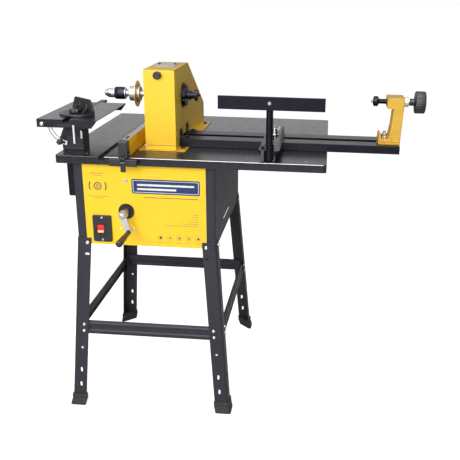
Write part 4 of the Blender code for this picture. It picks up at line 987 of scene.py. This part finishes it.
def on_gauge(outline):
    """Bench outline from places measured across and behind the turned gauge head."""
    cosine, sine = math.cos(GAUGE_TURN), math.sin(GAUGE_TURN)
    return [(GAUGE[0] + across * cosine - behind * sine, GAUGE[1] + across * sine + behind * cosine)
            for across, behind in outline]


def raised(outline, *heights):
    """One ring of the gauge head with a height for each point, or one for all."""
    if len(heights) == 1:
        heights = heights * len(outline)
    return [Vector((*point, height)) for point, height in zip(on_gauge(outline), heights)]


def dress_mitre_gauge():
    finished("mitre_gauge_bar", 0.5)
    base = span("mitre_gauge_head")[0].z
    rim = on_gauge(arc((0, 18), 62, 200, 340, 40) + [(58, 25.2), (-58, 25.2)])
    piece("gauge_base", prism(rim, "Z", base, base + 5.6), "black_plastic", "mitre_gauge_head",
          bevel=1.0)
    levels = ((58.0, 0.2), (58.0, 12), (56.5, 15), (43.0, 43.5), (41.0, 46.3), (38.5, 47))
    fence = skin([raised(rectangle(-half, 25.4, half, 32), base + height) for half, height in levels])
    windows = [skin([raised(rectangle(left, 20, left + 13, 40), base + height)
                     for height in (24, 31)]) for left in (-25, 12)]
    piece("gauge_fence", without(fence, *windows), "black_plastic", "mitre_gauge_head", bevel=0.8,
          stands_for="mitre_gauge_head")
    for side, middle in (("left", -30), ("right", 30)):
        web = rectangle(middle - 2, 6, middle + 2, 25.6)
        solid = skin([raised(web, base + 5.4), raised(web, base + 9, base + 9, base + 25, base + 25)])
        piece("gauge_web_" + side, solid, "black_plastic", "mitre_gauge_head", bevel=0.8)
    for index in range(11):
        mark = on_gauge(tick((0, 18), 215 + 11 * index, 56.0, 60.0, 0.3))
        piece(f"gauge_mark_{index}", prism(mark, "Z", base + 5.62, base + 5.8), "white_label",
              "mitre_gauge_head", "bright_steel")
    low, high = span("mitre_gauge_knob")
    top = high.z
    under = base + 6.4
    lathed("gauge_knob",
           [(low.z, 0.3), (low.z, 3), (under, 3), (under, 14.8), (under + 0.8, 17.2, 0.3),
            (under + 2.4, 19.4, 1.8), (top - 3.0, 19.2, 2.0), (top - 1, 17.4, 0.8),
            (top - 0.3, 14.6), (top - 0.6, 6.4), (top - 1.6, 6), (top - 1.6, 0.3)],
           "Z", GAUGE, "black_plastic", "mitre_gauge_knob", 96, 8,
           stands_for="mitre_gauge_knob")
    fasten("gauge_knob_screw", "hex", (*GAUGE, top - 1.6), UP, 5.2, "black_steel",
           "mitre_gauge_knob")
    pointer = on_gauge([(-3.2, -42.5), (0, -50), (3.2, -42.5), (3.2, -40), (-3.2, -40)])
    piece("gauge_pointer", prism(pointer, "Z", base - 0.25, base - 0.05), "bright_steel",
          "mitre_gauge")


# ---- rip fence

def fence_moulding(name, shape, bevel, **options):
    piece(name, shape, "black_plastic", "rip_fence", "yellow_paint", bevel, **options)


def dress_fence():
    low, high = span("rip_fence")
    middle = (low.x + high.x) / 2
    left, right = middle - 11, middle + 11
    deck = table_high.z / MM + 0.6
    top = high.z - 1
    beam = ring_prism(rectangle(left, deck, right, top),
                      rectangle(left + 2, deck + 2, right - 2, top - 2), "Y", 9.2, high.y)
    piece("fence_beam", beam, "yellow_paint", "rip_fence", bevel=1.0, segments=3)
    cover = prism(rounded_rectangle(left + 0.6, 9.6, right - 0.6, high.y - 2, 1), "Z",
                  top - 0.1, top + 0.9)
    piece("fence_top_strip", cover, "grey_paint", "rip_fence", "bright_steel", bevel=0.3)
    fasten_all("fence_screw", "screw", [(middle, y, top + 0.9) for y in (30, 48, 330, 610)], UP, 8.5,
               "black_steel", "rip_fence", 30)
    post = box((middle - 14, -18, deck), (middle + 14, 9.0, high.z))
    fence_moulding("fence_head_post", post, 3.2, segments=4, stands_for="rip_fence")
    cross_bar = without(box((low.x, low.y, low.z), (high.x, -0.6, 849)),
                        box((middle - 7.3, -40, 822), (middle + 7.3, -14, 846)))
    fence_moulding("fence_head_bar", cross_bar, 1.2, segments=3)
    neck = box((middle - 8, -24, 846.2), (middle + 8, -0.6, deck + 5))
    fence_moulding("fence_head_neck", neck, 1.0)
    fasten("fence_head_bolt", "dome", (middle, -18, 862), (0, -1, 0.35), 11.0, "black_steel",
           "rip_fence")
    plug = prism(rounded_rectangle(left + 2.3, deck + 2.3, right - 2.3, top - 2.3, 1), "Y",
                 high.y - 6, high.y + 1.2)
    fence_moulding("fence_end_plug", plug, 0.6)
    finished("fence_lever", 1.2, 3)


# ---- studio

CAMERA_AT = (0.2750, -2.2693, 1.3479)
CAMERA_TURN = 0.0747
CAMERA_DIP = 0.3542
CAMERA_ROLL = 0.0202
LENS = 55.24
LENS_SHIFT = (-0.0906, 0.0213)
AMBIENT = 0.17
FLOOR_GLOW = 0.80


def add_camera():
    """Camera at the viewing angle, slightly rolled."""
    ahead = Vector((-math.sin(CAMERA_TURN) * math.cos(CAMERA_DIP),
                    math.cos(CAMERA_TURN) * math.cos(CAMERA_DIP), -math.sin(CAMERA_DIP)))
    level = Vector((math.cos(CAMERA_TURN), math.sin(CAMERA_TURN), 0.0))
    down = ahead.cross(level)
    right = level * math.cos(CAMERA_ROLL) - down * math.sin(CAMERA_ROLL)
    down = down * math.cos(CAMERA_ROLL) + level * math.sin(CAMERA_ROLL)
    data = bpy.data.cameras.new("camera")
    data.lens = LENS
    data.sensor_width = 36.0
    data.shift_x, data.shift_y = LENS_SHIFT
    data.clip_end = 50.0
    camera = linked("camera", data)
    axes = Matrix((right, -down, -ahead)).transposed().to_4x4()
    camera.matrix_world = Matrix.Translation(CAMERA_AT) @ axes
    bpy.context.scene.camera = camera


def add_light(name, at, towards, size, power, diffuse=True):
    data = bpy.data.lights.new(name, "AREA")
    data.shape = "RECTANGLE"
    data.size, data.size_y = size
    data.energy = power
    made = linked(name, data)
    made.location = at
    made.visible_diffuse = diffuse
    made.rotation_euler = (Vector(towards) - Vector(at)).to_track_quat("-Z", "Y").to_euler()


def add_floor():
    """Pale floor that looks nearly white and still takes a faint shadow."""
    shape = bmesh.new()
    shape.faces.new([shape.verts.new((x, y, 0.0)) for x, y in rectangle(-40, -40, 40, 40)])
    mesh = mesh_of("studio_floor", shape)
    surface = Surface("studio_floor", 0.7)
    surface.colours(surface.noise(2.0), (0.3, (0.86, 0.86, 0.86)), (0.7, (0.90, 0.90, 0.90)))
    seen = surface.node("ShaderNodeLightPath").outputs["Is Camera Ray"]
    glow = surface.node("ShaderNodeMath", {0: seen, 1: FLOOR_GLOW}, operation="MULTIPLY")
    surface.shader.inputs["Emission Color"].default_value = (1.0, 1.0, 1.0, 1.0)
    surface.tree.links.new(glow.outputs["Value"], surface.shader.inputs["Emission Strength"])
    mesh.materials.append(surface.material)
    linked("studio_floor", mesh)


def add_world():
    """White backdrop behind the machine, dim in front of it, and little light from the sides."""
    world = bpy.data.worlds.new("studio")
    world.use_nodes = True
    tree = world.node_tree
    background = tree.nodes["Background"]
    background.inputs["Color"].default_value = (0.985, 0.99, 1.0, 1.0)
    direction = tree.nodes.new("ShaderNodeTexCoord").outputs["Generated"]
    parts = tree.nodes.new("ShaderNodeSeparateXYZ")
    tree.links.new(direction, parts.inputs["Vector"])
    depth = tree.nodes.new("ShaderNodeMapRange")
    tree.links.new(parts.outputs["Y"], depth.inputs["Value"])
    for socket, value in (("From Min", -0.3), ("From Max", 0.35), ("To Min", 0.10), ("To Max", 0.85)):
        depth.inputs[socket].default_value = value
    path = tree.nodes.new("ShaderNodeLightPath")
    strength = depth.outputs["Result"]
    for ray, level in (("Is Diffuse Ray", AMBIENT), ("Is Camera Ray", 1.0)):
        mix = tree.nodes.new("ShaderNodeMix")
        tree.links.new(path.outputs[ray], mix.inputs[0])
        tree.links.new(strength, mix.inputs[2])
        mix.inputs[3].default_value = level
        strength = mix.outputs[0]
    tree.links.new(strength, background.inputs["Strength"])
    bpy.context.scene.world = world


def add_studio():
    add_world()
    bpy.context.scene.view_settings.view_transform = "Standard"
    add_floor()
    add_light("key", (-0.6, -3.3, 1.85), (0.0, 0.0, 0.75), (2.6, 0.9), 104.0)
    add_light("left", (-3.0, -0.8, 1.9), (0.0, 0.1, 0.8), (1.2, 1.6), 16.0)
    add_light("top", (0.3, 0.9, 3.2), (0.1, 0.0, 0.8), (2.4, 1.2), 10.0)
    add_light("sheen", (0.0, -2.6, 4.0), (0.0, 0.0, 0.8), (5.0, 3.2), 420.0, diffuse=False)
    add_camera()


# ---- main

def main():
    for node, made in frame["nodes"].items():
        made.data.materials.clear()
        made.data.materials.append(MATERIALS[SLOTS[node]])
    for dress in (dress_stand, dress_cabinet, dress_crank, dress_switch, dress_table,
                  dress_headstock, dress_spindle, dress_drive, dress_bed, dress_tool_rest,
                  dress_tailstock, dress_side_table, dress_mitre_gauge, dress_fence, add_studio):
        dress()


main()
